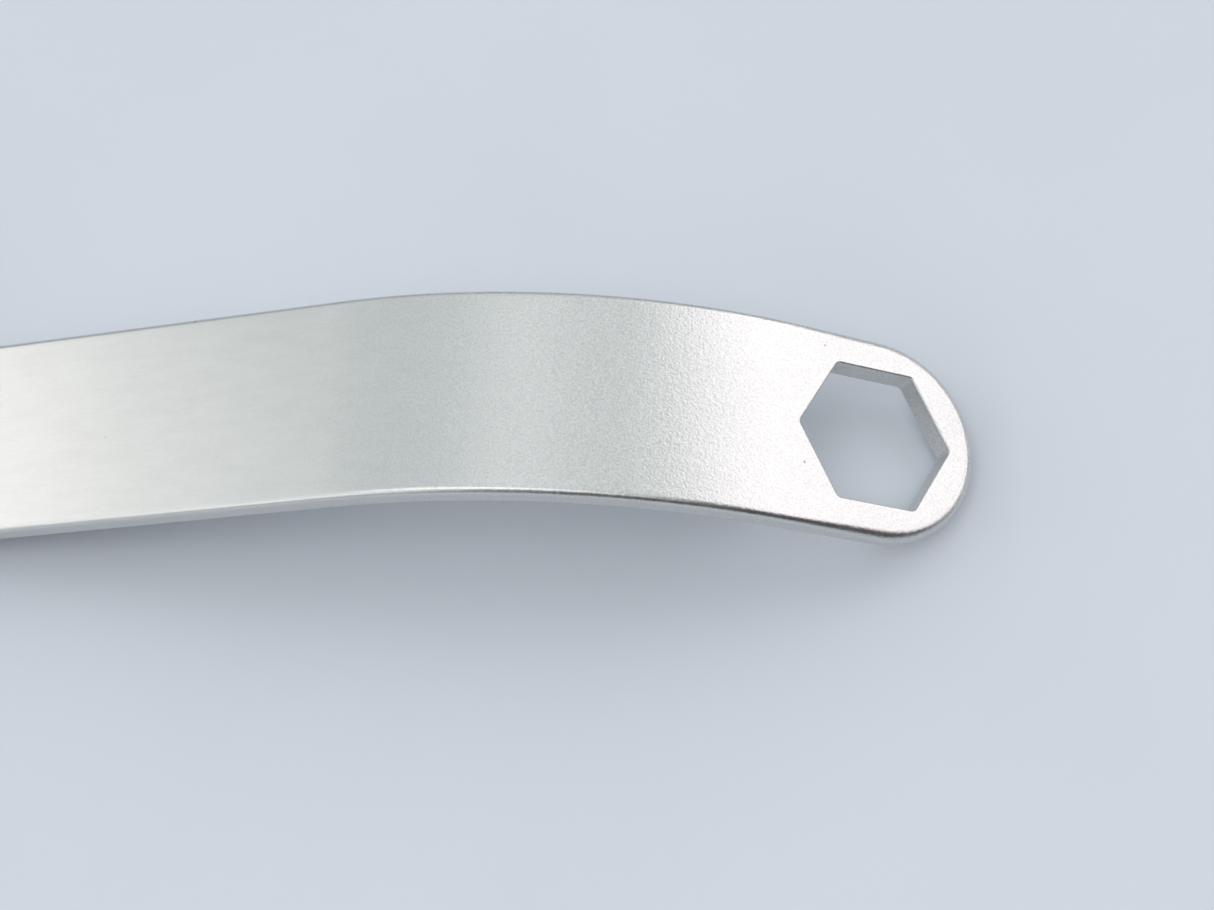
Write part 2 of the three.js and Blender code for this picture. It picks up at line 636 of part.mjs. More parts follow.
/** The coil spring that drives the plunger out of the stem. */
function plungerSpring() {
  const wireRadius = 0.3;
  const coilRadius = 1.35;
  const turns = 6;
  const endGap = 0.5;
  const start = PLUNGER_BORE_END + endGap;
  const length = PLUNGER_BACK - wireRadius * 2 - start;
  const points = [];
  const stepsPerTurn = 12;
  for (let step = 0; step <= turns * stepsPerTurn; step += 1) {
    const angle = (2 * Math.PI * step) / stepsPerTurn;
    const along = start + (length * step) / (turns * stepsPerTurn);
    points.push(new THREE.Vector3(coilRadius * Math.cos(angle), coilRadius * Math.sin(angle), along));
  }
  const path = new THREE.CatmullRomCurve3(points);
  const wire = new THREE.Shape().absarc(0, 0, wireRadius, 0, 2 * Math.PI, false);
  const options = { steps: turns * stepsPerTurn, curveSegments: 5, extrudePath: path };
  return layAlongPlunger(solid(new THREE.ExtrudeGeometry(wire, options)));
}

// ---- spanner hook -----------------------------------------------------------------------------------

/** The claw's outline: an inner arc round the coupling, a nib that catches a lug, a tapering back. */
function clawShape() {
  const degrees = THREE.MathUtils.degToRad;
  const inner = hookRadius;
  const backShift = 3;
  const [backX, backY] = polar(backShift, degrees(100), COUPLING_X, COUPLING_Y);
  const backRadius = inner + CLAW_DEPTH - backShift;
  const shape = new THREE.Shape();
  shape.moveTo(...polar(inner, degrees(86), COUPLING_X, COUPLING_Y));
  shape.absarc(COUPLING_X, COUPLING_Y, inner, degrees(86), degrees(164), false);
  shape.lineTo(...polar(inner - NIB_DEPTH, degrees(167), COUPLING_X, COUPLING_Y));
  shape.lineTo(...polar(inner - NIB_DEPTH, degrees(172), COUPLING_X, COUPLING_Y));
  shape.quadraticCurveTo(
    ...polar(inner, degrees(182), COUPLING_X, COUPLING_Y),
    ...polar(backRadius, degrees(174), backX, backY),
  );
  shape.absarc(backX, backY, backRadius, degrees(174), degrees(88), true);
  return shape;
}

function spannerHook() {
  const half = CLAW_THICKNESS / 2;
  const root = prism(earShape(PLATE_RADIUS + BUTT_GAP, 0), CASE_BOTTOM, CASE_TOP, 6);
  const claw = prism(clawShape(), CASE_MIDDLE - half, CASE_MIDDLE + half);
  const headSpace = rod(0, 0, CASE_BOTTOM - 1, CASE_TOP + 1, PLATE_RADIUS, PLATE_RADIUS, LARGE_SIDES);
  return cutAll(root.add(claw), [couplingSpace, headSpace, hookHoles]);
}

// ---- assembly ---------------------------------------------------------------------------------------

const wrench = new THREE.Group();
wrench.add(part('handle_bar', handleBar(), 'blasted'));
wrench.add(part('lower_side_plate', sidePlate(0, STEM_FOOT_RADIUS + RUN_GAP), 'blasted'));
wrench.add(part('upper_side_plate', sidePlate(UPPER_BOTTOM, STEM_NECK_RADIUS + RUN_GAP), 'blasted'));
wrench.add(part('gear_case', gearCase(), 'ground'));
wrench.add(part('neck_spacer', neckSpacer(), 'ground'));
wrench.add(part('spanner_hook', spannerHook(), 'blasted'));
wrench.add(part('drive_ring', driveRing(), 'hardened'));
wrench.add(part('lower_bushing', bushing(FACE_GAP), 'bronze'));
wrench.add(part('upper_bushing', bushing(UPPER_BOTTOM + FACE_GAP), 'bronze'));
wrench.add(part('pawl', pawl(), 'hardened'));
wrench.add(part('pawl_pin', pawlPin(), 'ground'));
wrench.add(part('selector_stem', selectorStem(), 'hardened'));
wrench.add(part('selector_lever', selectorLever(), 'blackened'));
wrench.add(part('selector_screw', selectorScrew(), 'ground'));
wrench.add(part('plunger', plunger(), 'ground'));
wrench.add(part('plunger_spring', plungerSpring(), 'ground'));
HEAD_SCREW_PLACES.forEach((place, index) => {
  wrench.add(part(`head_screw_${index + 1}`, countersunkScrew(place, HEAD_SCREW), 'ground'));
});
HOOK_SCREW_PLACES.forEach((place, index) => {
  wrench.add(part(`hook_screw_${index + 1}`, countersunkScrew(place, HOOK_SCREW), 'ground'));
});
RIVET_PLACES.forEach((place, index) => {
  wrench.add(part(`handle_rivet_${index + 1}`, rivet(place), 'ground'));
});

// The frame's origin is the centre of the bounding box's underside.
const bounds = new THREE.Box3().setFromObject(wrench);
const centre = bounds.getCenter(new THREE.Vector3());
wrench.position.set(-centre.x, -centre.y, -bounds.min.z);

export default wrench;
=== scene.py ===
"""Looks of a ratcheting fire hydrant wrench, built round its CAD frame.

Metres, +Z up. The wrench lies on its head's underside and on the tip of its tail, with its
handle along +X. Sizes are the wrench's own; places come from the frame's nodes.
"""

import logging
import math
from collections.abc import Callable, Iterable, Sequence
from dataclasses import dataclass, field
from enum import Enum

import bmesh
import bpy
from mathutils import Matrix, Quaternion, Vector
from mathutils.geometry import tessellate_polygon


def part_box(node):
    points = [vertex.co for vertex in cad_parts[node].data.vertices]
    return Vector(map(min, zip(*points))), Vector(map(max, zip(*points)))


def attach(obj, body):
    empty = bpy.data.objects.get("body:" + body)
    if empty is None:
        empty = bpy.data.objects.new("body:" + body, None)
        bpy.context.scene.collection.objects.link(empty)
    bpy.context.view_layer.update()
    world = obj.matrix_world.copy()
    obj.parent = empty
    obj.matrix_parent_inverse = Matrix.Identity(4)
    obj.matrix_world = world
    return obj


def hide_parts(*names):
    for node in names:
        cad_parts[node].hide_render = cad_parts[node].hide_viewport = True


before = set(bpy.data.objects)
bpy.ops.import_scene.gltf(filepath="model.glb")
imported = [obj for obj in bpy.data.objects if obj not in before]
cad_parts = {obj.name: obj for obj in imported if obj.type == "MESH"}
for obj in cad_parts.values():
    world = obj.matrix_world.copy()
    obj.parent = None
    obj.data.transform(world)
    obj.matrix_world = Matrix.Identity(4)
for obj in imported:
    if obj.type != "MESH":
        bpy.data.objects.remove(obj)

LOG = logging.getLogger("hydrant_wrench")
MM = 0.001
TURN = 2 * math.pi
WEAR_LAYER = "edge_wear"

# The CAD nodes that come in sets.
HEAD_SCREWS = tuple(f"head_screw_{index}" for index in range(1, 7))
HOOK_SCREWS = ("hook_screw_1", "hook_screw_2")
RIVETS = tuple(f"handle_rivet_{index}" for index in range(1, 4))

# Outlines: how sharp a corner may draw out its mitre, and what counts as parallel or as touching.
SHARPEST_MITRE = 0.4
TINY = 1e-12
SLACK = 1e-6

# Edges: wear where a rounded edge begins and what its middle adds, and how faces are shaded.
FLAT_WEAR = 0.55
CORNER_WEAR = 0.45
SHARP_ANGLE = math.radians(50)
AREA_WEIGHT = 60

# Holes: a hexagon's corners, how round a key's corners are, and how far a lip's wear spreads.
HEXAGON = 6
KEY_ROUNDING = 0.12
LIP_BAND = 0.2 * MM

Point = tuple[float, float]
Level = tuple[float, float]
Outline = list[Point]
Section = list[tuple[float, float, float]]
Hole = tuple[Outline, Section]
Reach = Callable[[float], float]
Row = tuple[Reach, float, float]


# ---- outlines ------------------------------------------------------------------------------


def polar(radius: float, angle: float, centre: Point = (0.0, 0.0)) -> Point:
    """A point at a distance and an angle from a centre."""
    return centre[0] + radius * math.cos(angle), centre[1] + radius * math.sin(angle)


def arc(centre: Point, radius: float, start: float, end: float, steps: int) -> Outline:
    """Points along an arc, both ends included.

    Args:
        centre: The arc's centre.
        radius: Its radius.
        start: The angle of its first point.
        end: The angle of its last point.
        steps: How many chords it has.

    Returns:
        The arc's points in order.
    """
    return [polar(radius, start + (end - start) * step / steps, centre) for step in range(steps + 1)]


def circle(centre: Point, radius: float, steps: int = 48) -> Outline:
    """A full counter-clockwise circle."""
    return arc(centre, radius, 0.0, TURN * (1 - 1 / steps), steps - 1)


def rounded_polygon(centre: Point, apothem: float, corners: int, first: float, rounding: float,
                    steps: int = 5) -> Outline:
    """A regular polygon with rounded corners, counter-clockwise.

    Args:
        centre: The polygon's centre.
        apothem: Distance from the centre to each flat.
        corners: How many corners it has.
        first: The angle of its first corner.
        rounding: The corners' radius.
        steps: Chords in each rounded corner.

    Returns:
        The outline's points.
    """
    half = math.pi / corners
    reach = (apothem - rounding) / math.cos(half)
    points: Outline = []
    for corner in range(corners):
        angle = first + 2 * half * corner
        points += arc(polar(reach, angle, centre), rounding, angle - half, angle + half, steps)
    return points


def inset(outline: Outline, distance: float) -> Outline:
    """Moves a counter-clockwise outline inwards, corner by corner; a negative distance grows it.

    Args:
        outline: A closed outline.
        distance: How far each side moves to its left.

    Returns:
        The moved outline, with the same number of points.
    """
    moved: Outline = []
    count = len(outline)
    for index, here in enumerate(outline):
        before = Vector(here) - Vector(outline[index - 1])
        after = Vector(outline[(index + 1) % count]) - Vector(here)
        normals = [Vector((-side.y, side.x)).normalized() for side in (before, after)]
        mitre = (normals[0] + normals[1]).normalized()
        stretch = 1 / max(SHARPEST_MITRE, mitre.dot(normals[0]))
        target = Vector(here) + mitre * distance * stretch
        moved.append((target.x, target.y))
    return moved


def ray_hit(path: Outline, angle: float) -> float:
    """How far from the origin a ray crosses an open path, or 0 where it doesn't.

    Args:
        path: The path's points.
        angle: The ray's direction.

    Returns:
        The largest crossing distance.
    """
    direction = Vector(polar(1.0, angle))
    furthest = 0.0
    for start, end in zip(path, path[1:]):
        side = Vector(end) - Vector(start)
        bottom = direction.cross(side)
        if abs(bottom) < TINY:
            continue
        along_ray = Vector(start).cross(side) / bottom
        along_side = Vector(start).cross(direction) / bottom
        if along_ray > 0 and -SLACK <= along_side <= 1 + SLACK:
            furthest = max(furthest, along_ray)
    return furthest


def circle_hits(centre: Point, radius: float, angle: float) -> Point | None:
    """The near and far distances at which a ray from the origin crosses a circle, if it does.

    Args:
        centre: The circle's centre.
        radius: Its radius.
        angle: The ray's direction.

    Returns:
        The two distances, or None where the ray misses.
    """
    middle = Vector(centre).dot(Vector(polar(1.0, angle)))
    spare = radius ** 2 - (Vector(centre).length_squared - middle ** 2)
    if spare <= 0 or middle <= 0:
        return None
    return middle - math.sqrt(spare), middle + math.sqrt(spare)


def leaning_curve(start: Point, control: Point, end: Point, steps: int = 6) -> Outline:
    """A curve from one point to another that leans towards a third.

    Args:
        start: Its first point.
        control: The point that it leans towards.
        end: Its last point.
        steps: How many chords it has.

    Returns:
        The curve's points in order.
    """
    points: Outline = []
    for step in range(steps + 1):
        share = step / steps
        pulls = (((1 - share) ** 2, start), (2 * share * (1 - share), control), (share ** 2, end))
        points.append(tuple(sum(pull * corner[axis] for pull, corner in pulls) for axis in (0, 1)))
    return points


# ---- solids ---------------------------------------------------------------------------------


@dataclass(frozen=True)
class Rim:
    """How the edge between a face and a wall is rounded, and how far wear spreads from it."""

    radius: float
    band: float = 0.6 * MM
    steps: int = 4

    def section(self, low: float, high: float) -> Section:
        """The edge's shape from the lower face, up the wall, to the upper face.

        Args:
            low: Height of the lower face.
            high: Height of the upper face.

        Returns:
            Triples of inset from the wall, height and wear.
        """
        lower: Section = [(self.radius + self.band, low, 0.0)]
        for step in range(self.steps + 1):
            angle = math.pi / 2 * step / self.steps
            step_in, rise = self.radius * (1 - math.sin(angle)), self.radius * (1 - math.cos(angle))
            lower.append((step_in, low + rise, FLAT_WEAR + CORNER_WEAR * math.sin(2 * angle)))
        lower.append((0.0, low + self.radius + self.band, 0.0))
        upper = [(step_in, low + high - height, wear) for step_in, height, wear in reversed(lower)]
        return lower + upper


class Solid:
    """A closed mesh put together from rings of points, each point with how worn it is."""

    def __init__(self) -> None:
        """Starts with an empty mesh and its layer of wear."""
        self.mesh = bmesh.new()
        self.worn = self.mesh.verts.layers.float.new(WEAR_LAYER)

    def ring(self, points: Iterable[Sequence[float]], wear: float = 0.0) -> list[bmesh.types.BMVert]:
        """Adds a row of points.

        Args:
            points: Places in the frame.
            wear: How worn the surface is there, from 0 to 1.

        Returns:
            The new vertices in order.
        """
        made = [self.mesh.verts.new(point) for point in points]
        for vertex in made:
            vertex[self.worn] = wear
        return made

    def skin(self, rings: Sequence[list[bmesh.types.BMVert]], closed: bool = True) -> None:
        """Joins each ring to the next with quads.

        Args:
            rings: Rings with the same number of vertices.
            closed: Whether the last vertex of a ring joins the first.
        """
        for low, high in zip(rings, rings[1:]):
            count = len(low)
            for index in range(count if closed else count - 1):
                after = (index + 1) % count
                self.mesh.faces.new((low[index], low[after], high[after], high[index]))

    def cap(self, *loops: list[bmesh.types.BMVert]) -> None:
        """Fills a flat face inside its first loop and round the others."""
        corners = [vertex for loop in loops for vertex in loop]
        for triangle in tessellate_polygon([[vertex.co for vertex in loop] for loop in loops]):
            self.mesh.faces.new([corners[index] for index in triangle])

    def build(self, name: str) -> bpy.types.Object:
        """Closes the mesh and puts it in the scene.

        Args:
            name: The piece's name.

        Returns:
            The new object, with normals that follow its large faces.
        """
        bmesh.ops.recalc_face_normals(self.mesh, faces=self.mesh.faces)
        data = bpy.data.meshes.new(name)
        self.mesh.to_mesh(data)
        self.mesh.free()
        piece = put_in_scene(name, data)
        smooth(piece)
        return piece


def put_in_scene(name: str, data: bpy.types.ID) -> bpy.types.Object:
    """Makes an object of some data and links it to the scene.

    Args:
        name: The object's name.
        data: Its mesh, light or camera.

    Returns:
        The object.
    """
    made = bpy.data.objects.new(name, data)
    bpy.context.scene.collection.objects.link(made)
    return made


def smooth(piece: bpy.types.Object) -> None:
    """Shades a piece smooth between its sharp edges, with normals that keep its flats flat.

    Args:
        piece: The piece to shade.
    """
    mesh = piece.data
    mesh.polygons.foreach_set("use_smooth", [True] * len(mesh.polygons))
    mesh.set_sharp_from_angle(angle=SHARP_ANGLE)
    weighted = piece.modifiers.new("weighted_normals", "WEIGHTED_NORMAL")
    weighted.keep_sharp = True
    weighted.weight = AREA_WEIGHT


def extruded(outer: Outline, outer_section: Section, holes: Sequence[Hole] = ()) -> Solid:
    """A plate between two faces, with rounded edges and shaped holes.

    Args:
        outer: The plate's counter-clockwise outline.
        outer_section: The shape of its wall.
        holes: Each hole's counter-clockwise outline and the shape of its wall, inset into the plate.

    Returns:
        The closed solid.
    """
    solid = Solid()
    walls = [[solid.ring([(x, y, height) for x, y in inset(outer, step_in)], wear)
              for step_in, height, wear in outer_section]]
    for outline, section in holes:
        walls.append([solid.ring([(x, y, height) for x, y in inset(outline, -step_in)], wear)
                      for step_in, height, wear in section])
    for rings in walls:
        solid.skin(rings)
    solid.cap(*[rings[0] for rings in walls])
    solid.cap(*[rings[-1] for rings in walls])
    return solid


def turned(centre: Point, section: Section, key: "Key | None" = None, steps: int = 48) -> Solid:
    """A round piece about an upright axis, with a hexagon recess in its top if it has a key.

    Args:
        centre: The axis's place.
        section: Triples of radius, height and wear from the bottom to the top.
        key: The recess for a key.
        steps: Sides of the round.

    Returns:
        The closed solid.
    """
    solid = Solid()
    rings = [solid.ring([(x, y, height) for x, y in circle(centre, radius, steps)], wear)
             for radius, height, wear in section]
    solid.skin(rings)
    solid.cap(rings[0])
    if key is None:
        solid.cap(rings[-1])
        return solid
    top = section[-1][1]
    outline = rounded_polygon(centre, key.apothem, HEXAGON, 0.0, key.apothem * KEY_ROUNDING, 2)
    sinks = [(-key.lead, 0.0, 0.7), (0.0, key.lead, 0.3), (0.0, key.depth, 0.0)]
    recess = [solid.ring([(x, y, top - drop) for x, y in inset(outline, step_in)], wear)
              for step_in, drop, wear in sinks]
    solid.cap(rings[-1], recess[0])
    solid.skin(recess)
    solid.cap(recess[-1])
    return solid


@dataclass(frozen=True)
class Key:
    """The hexagon recess in a screw's head."""

    apothem: float
    depth: float
    lead: float = 0.15 * MM


# ---- node trees ----------------------------------------------------------------------------


class Graph:
    """A node tree with short calls for adding nodes and joining them."""

    def __init__(self, tree: bpy.types.NodeTree) -> None:
        """Works on one tree."""
        self.tree = tree

    def add(self, kind: str, inputs: dict[str | int, object] | None = None,
            **settings: object) -> bpy.types.Node:
        """Adds a node.

        Args:
            kind: The node's type.
            inputs: Values or sockets for its inputs, by name or number.
            settings: Its properties.

        Returns:
            The node.
        """
        node = self.tree.nodes.new(kind)
        for name, value in settings.items():
            setattr(node, name, value)
        for name, value in (inputs or {}).items():
            self.feed(node.inputs[name], value)
        return node

    def feed(self, socket: bpy.types.NodeSocket, value: object) -> None:
        """Gives a socket a value, or joins it to another socket.

        Args:
            socket: The input to set.
            value: A plain value, or an output to join it to.
        """
        if isinstance(value, bpy.types.NodeSocket):
            self.tree.links.new(value, socket)
        else:
            socket.default_value = value

    def here(self) -> bpy.types.NodeSocket:
        """The shaded point's place in the frame."""
        return self.add("ShaderNodeTexCoord").outputs["Object"]

    def maths(self, operation: str, *values: object, clamp: bool = False) -> bpy.types.NodeSocket:
        """The result of a sum on values or sockets."""
        node = self.add("ShaderNodeMath", dict(enumerate(values)), operation=operation, use_clamp=clamp)
        return node.outputs[0]

    def weighed(self, *parts: tuple[object, float]) -> bpy.types.NodeSocket:
        """The sum of sockets, each times its own weight.

        Args:
            parts: Pairs of a socket and its weight.

        Returns:
            The sum's socket.
        """
        first, *others = [self.maths("MULTIPLY", value, weight) for value, weight in parts]
        for other in others:
            first = self.maths("ADD", first, other)
        return first

    def bump(self, shader: bpy.types.Node, strength: float, depth: float, height: object) -> None:
        """Gives a shader a bumped normal."""
        node = self.add("ShaderNodeBump", {"Strength": strength, "Distance": depth, "Height": height})
        self.feed(shader.inputs["Normal"], node.outputs["Normal"])

    def noise(self, place: object, scale: object, detail: float = 2.0,
              harshness: float = 0.5) -> bpy.types.NodeSocket:
        """A noise value at a place, about 0.5 on average."""
        inputs = {"Vector": place, "Scale": scale, "Detail": detail, "Roughness": harshness}
        return self.add("ShaderNodeTexNoise", inputs).outputs["Fac"]

    def remap(self, value: object, low: float, high: float, new_low: float = 0.0,
              new_high: float = 1.0) -> bpy.types.NodeSocket:
        """A value moved from one range to another and held inside it."""
        inputs = {"Value": value, "From Min": low, "From Max": high, "To Min": new_low, "To Max": new_high}
        return self.add("ShaderNodeMapRange", inputs).outputs["Result"]

    def blend(self, share: object, first: object, second: object) -> bpy.types.NodeSocket:
        """A colour between two colours."""
        return self.add("ShaderNodeMix", {0: share, 6: first, 7: second}, data_type="RGBA").outputs[2]

    def drawn_out(self, place: object, share: float) -> bpy.types.NodeSocket:
        """A place scaled along X, so that a pattern is drawn out along the handle."""
        node = self.add("ShaderNodeVectorMath", {0: place, 1: (share, 1.0, 1.0)}, operation="MULTIPLY")
        return node.outputs[0]


class Effect(Enum):
    """Surface effects that several finishes share, each a node group."""

    BLAST = "blasted_grain"
    BRUSH = "brushed_grain"
    WEAR = "edge_wear"
    SMUDGE = "smudges"
    # Dots of painted shade that stand for the steel's pitting.
    PAINTED_PIT_SHADE = "painted_pit_shade_dots"


class Effects:
    """Builds the shared node groups once and places them in materials."""

    coarse_share: float = 0.37
    dimple_share: float = 0.8
    broad_share: float = 0.22
    tone_range: tuple[float, float] = (0.3, 0.7)

    def __init__(self) -> None:
        """Makes every group."""
        self.groups = {
            Effect.BLAST: self._blast(),
            Effect.BRUSH: self._brush(),
            Effect.WEAR: self._wear(),
            Effect.SMUDGE: self._smudge(),
            Effect.PAINTED_PIT_SHADE: self._painted_pit_shade(),
        }

    @staticmethod
    def _start(effect: Effect, inputs: dict[str, float],
               outputs: Sequence[str]) -> tuple[Graph, dict, dict]:
        """Opens a group with named sockets.

        Args:
            effect: Which group it is.
            inputs: Its number inputs and their usual values.
            outputs: Its number outputs.

        Returns:
            The graph, its input sockets by name and its output sockets by name.
        """
        tree = bpy.data.node_groups.new(effect.value, "ShaderNodeTree")
        for name, value in inputs.items():
            made = tree.interface.new_socket(name, in_out="INPUT", socket_type="NodeSocketFloat")
            made.default_value = value
        for name in outputs:
            tree.interface.new_socket(name, in_out="OUTPUT", socket_type="NodeSocketFloat")
        graph = Graph(tree)
        source, sink = graph.add("NodeGroupInput"), graph.add("NodeGroupOutput")
        given = {name: source.outputs[name] for name in inputs}
        return graph, given, {name: sink.inputs[name] for name in outputs}

    def _blast(self) -> bpy.types.NodeTree:
        """The dimpled grain that bead blasting leaves.

        Returns:
            The group's tree.
        """
        graph, given, put = self._start(Effect.BLAST, {"Frequency": 2600.0}, ("Height", "Tone"))
        place, frequency = graph.here(), given["Frequency"]
        fine = graph.noise(place, frequency, 2.0, 0.6)
        coarse = graph.noise(place, graph.maths("MULTIPLY", frequency, self.coarse_share), 1.0)
        dimple_scale = graph.maths("MULTIPLY", frequency, self.dimple_share)
        dimple = graph.add("ShaderNodeTexVoronoi", {"Vector": place, "Scale": dimple_scale}, feature="F1")
        parts = ((fine, 0.6), (coarse, 0.25), (dimple.outputs["Distance"], 0.3))
        graph.feed(put["Height"], graph.weighed(*parts))
        graph.feed(put["Tone"], graph.remap(fine, *self.tone_range))
        return graph.tree

    def _brush(self) -> bpy.types.NodeTree:
        """Fine lines along the handle.

        Returns:
            The group's tree.
        """
        graph, given, put = self._start(Effect.BRUSH, {"Frequency": 2200.0}, ("Height", "Tone"))
        place, frequency = graph.here(), given["Frequency"]
        lines = graph.noise(graph.drawn_out(place, 0.03), frequency, 3.0, 0.6)
        broad_scale = graph.maths("MULTIPLY", frequency, self.broad_share)
        broad = graph.noise(graph.drawn_out(place, 0.02), broad_scale, 1.0)
        graph.feed(put["Height"], lines)
        graph.feed(put["Tone"], graph.remap(graph.weighed((lines, 0.5), (broad, 0.5)), *self.tone_range))
        return graph.tree

    def _wear(self) -> bpy.types.NodeTree:
        """Where handling has polished the edges, broken up by noise.

        Returns:
            The group's tree.
        """
        graph, given, put = self._start(Effect.WEAR, {"Amount": 1.0}, ("Mask",))
        layer = graph.add("ShaderNodeAttribute", attribute_name=WEAR_LAYER).outputs["Fac"]
        patch = graph.remap(graph.noise(graph.here(), 180.0, 4.0, 0.6), 0.35, 0.65, 0.35)
        patched = graph.maths("MULTIPLY", layer, patch)
        graph.feed(put["Mask"], graph.maths("MULTIPLY", patched, given["Amount"], clamp=True))
        return graph.tree

    def _smudge(self) -> bpy.types.NodeTree:
        """Faint clouds left by hands and storage.

        Returns:
            The group's tree.
        """
        graph, given, put = self._start(Effect.SMUDGE, {"Frequency": 30.0}, ("Mask",))
        cloud = graph.noise(graph.here(), given["Frequency"], 5.0, 0.55)
        graph.feed(put["Mask"], graph.remap(cloud, 0.38, 0.68))
        return graph.tree

    def _painted_pit_shade(self) -> bpy.types.NodeTree:
        """Small scattered dark dots, painted shade standing for the rolled steel's pitting.

        Returns:
            The group's tree.
        """
        usual = {"Frequency": 260.0, "Radius": 0.07, "Share": 0.25}
        graph, given, put = self._start(Effect.PAINTED_PIT_SHADE, usual, ("Mask",))
        places = {"Vector": graph.here(), "Scale": given["Frequency"]}
        cells = graph.add("ShaderNodeTexVoronoi", places, feature="F1")
        chance = graph.add("ShaderNodeSeparateColor", {0: cells.outputs["Color"]}).outputs["Red"]
        chosen = graph.maths("LESS_THAN", chance, given["Share"])
        reach = graph.maths("DIVIDE", cells.outputs["Distance"], given["Radius"])
        soft = graph.remap(graph.maths("SUBTRACT", 1.0, reach, clamp=True), 0.0, 0.5)
        graph.feed(put["Mask"], graph.maths("MULTIPLY", soft, chosen))
        return graph.tree

    def place(self, graph: Graph, effect: Effect, **values: float) -> dict[str, bpy.types.NodeSocket]:
        """Puts an effect into a material.

        Args:
            graph: The material's graph.
            effect: Which effect.
            values: Its own values.

        Returns:
            The effect's outputs by name.
        """
        node = graph.add("ShaderNodeGroup", node_tree=self.groups[effect])
        for name, value in values.items():
            node.inputs[name].default_value = value
        return {socket.name: socket for socket in node.outputs}


# ---- finishes -------------------------------------------------------------------------------

Colour = tuple[float, float, float]


def opaque(colour: Colour, share: float = 1.0) -> tuple[float, float, float, float]:
    """A colour with full alpha, darkened to a share of its brightness."""
    return (*(channel * share for channel in colour), 1.0)


def new_material(name: str) -> tuple[bpy.types.Material, Graph, bpy.types.Node]:
    """A new node material, with its graph and its shader node.

    Args:
        name: The material's name.

    Returns:
        The material, its graph and its shader.
    """
    made = bpy.data.materials.new(name)
    made.use_nodes = True
    return made, Graph(made.node_tree), made.node_tree.nodes["Principled BSDF"]


@dataclass(frozen=True)
class Finish:
    """What every metal finish of the wrench has: a colour, a gloss and worn edges."""

    name: str
    colour: Colour
    edge_colour: Colour
    roughness: float
    edge_roughness: float = 0.25
    wear: float = 0.6
    smudge: float = 0.05
    metallic: float = 1.0
    contrast: float = 0.1
    bump_depth: float = 0.05 * MM
    pit_share: float = 0.0
    # How dark the dots of painted shade for the steel's pitting are, as a share of the colour.
    pit_painted_shade: float = 0.3
    tone_roughness: float = 0.05

    def grain(self, graph: Graph, effects: Effects) -> tuple[object, object, float]:
        """The surface's own texture.

        Args:
            graph: The material's graph.
            effects: The shared effects.

        Returns:
            A tone from 0 to 1, a height from 0 to 1, and how strongly the height shows.
        """
        raise NotImplementedError(f"{self.name} needs its own grain")

    def material(self, effects: Effects) -> bpy.types.Material:
        """Makes the material.

        Args:
            effects: The shared effects.

        Returns:
            The finished material.
        """
        made, graph, shader = new_material(self.name)
        tone, height, strength = self.grain(graph, effects)
        worn = effects.place(graph, Effect.WEAR, Amount=self.wear)["Mask"]
        smudge = effects.place(graph, Effect.SMUDGE)["Mask"]
        dark = opaque(self.colour, 1 - self.contrast)
        smudged = graph.maths("MULTIPLY", smudge, self.smudge)
        toned = graph.blend(smudged, graph.blend(tone, dark, opaque(self.colour)), dark)
        edged = graph.blend(worn, toned, opaque(self.edge_colour))
        if self.pit_share > 0:
            # Dark dots of painted shade that stand for the steel's pitting.
            painted_pit_mask = effects.place(graph, Effect.PAINTED_PIT_SHADE, Share=self.pit_share)["Mask"]
            edged = graph.blend(painted_pit_mask, edged, opaque(self.colour, self.pit_painted_shade))
        graph.feed(shader.inputs["Base Color"], edged)
        cloudy = graph.maths("ADD", smudged, self.roughness)
        varied = graph.maths("ADD", cloudy, graph.maths("MULTIPLY", tone, self.tone_roughness))
        polish = self.edge_roughness - self.roughness
        graph.feed(shader.inputs["Roughness"], graph.maths("MULTIPLY_ADD", worn, polish, varied))
        graph.bump(shader, strength, self.bump_depth, height)
        shader.inputs["Metallic"].default_value = self.metallic
        return made


@dataclass(frozen=True)
class BlastedSteel(Finish):
    """Bead blasted stainless, brushed lengthwise beyond a given place along the handle."""

    frequency: float = 2600.0
    strength: float = 0.35
    brushed_from: float | None = None
    brushed_to: float = 0.0
    brushed_most: float = 0.88
    brushed_depth: float = 0.12
    brushed_tone: tuple[float, float] = (0.35, 0.65)

    def grain(self, graph: Graph, effects: Effects) -> tuple[object, object, float]:
        """Blasted grain that gives way to brushing up the handle.

        Args:
            graph: The material's graph.
            effects: The shared effects.

        Returns:
            A tone, a height and how strongly the height shows.
        """
        blast = effects.place(graph, Effect.BLAST, Frequency=self.frequency)
        if self.brushed_from is None:
            return blast["Tone"], blast["Height"], self.strength
        brush = effects.place(graph, Effect.BRUSH)
        along = graph.add("ShaderNodeSeparateXYZ", {0: graph.here()}).outputs["X"]
        share = graph.remap(along, self.brushed_from, self.brushed_to, 0.0, self.brushed_most)
        faint = {"Tone": graph.remap(brush["Tone"], 0.0, 1.0, *self.brushed_tone),
                 "Height": graph.maths("MULTIPLY", brush["Height"], self.brushed_depth)}
        mixes = ({0: share, 2: blast[name], 3: faint[name]} for name in ("Tone", "Height"))
        tone, height = (graph.add("ShaderNodeMix", mix, data_type="FLOAT").outputs[0] for mix in mixes)
        return tone, height, self.strength


@dataclass(frozen=True)
class GroundSteel(Finish):
    """Steel with fine turning or grinding lines."""

    frequency: float = 2600.0
    strength: float = 0.15

    def grain(self, graph: Graph, effects: Effects) -> tuple[object, object, float]:
        """Fine lines along the handle."""
        brush = effects.place(graph, Effect.BRUSH, Frequency=self.frequency)
        return brush["Tone"], brush["Height"], self.strength


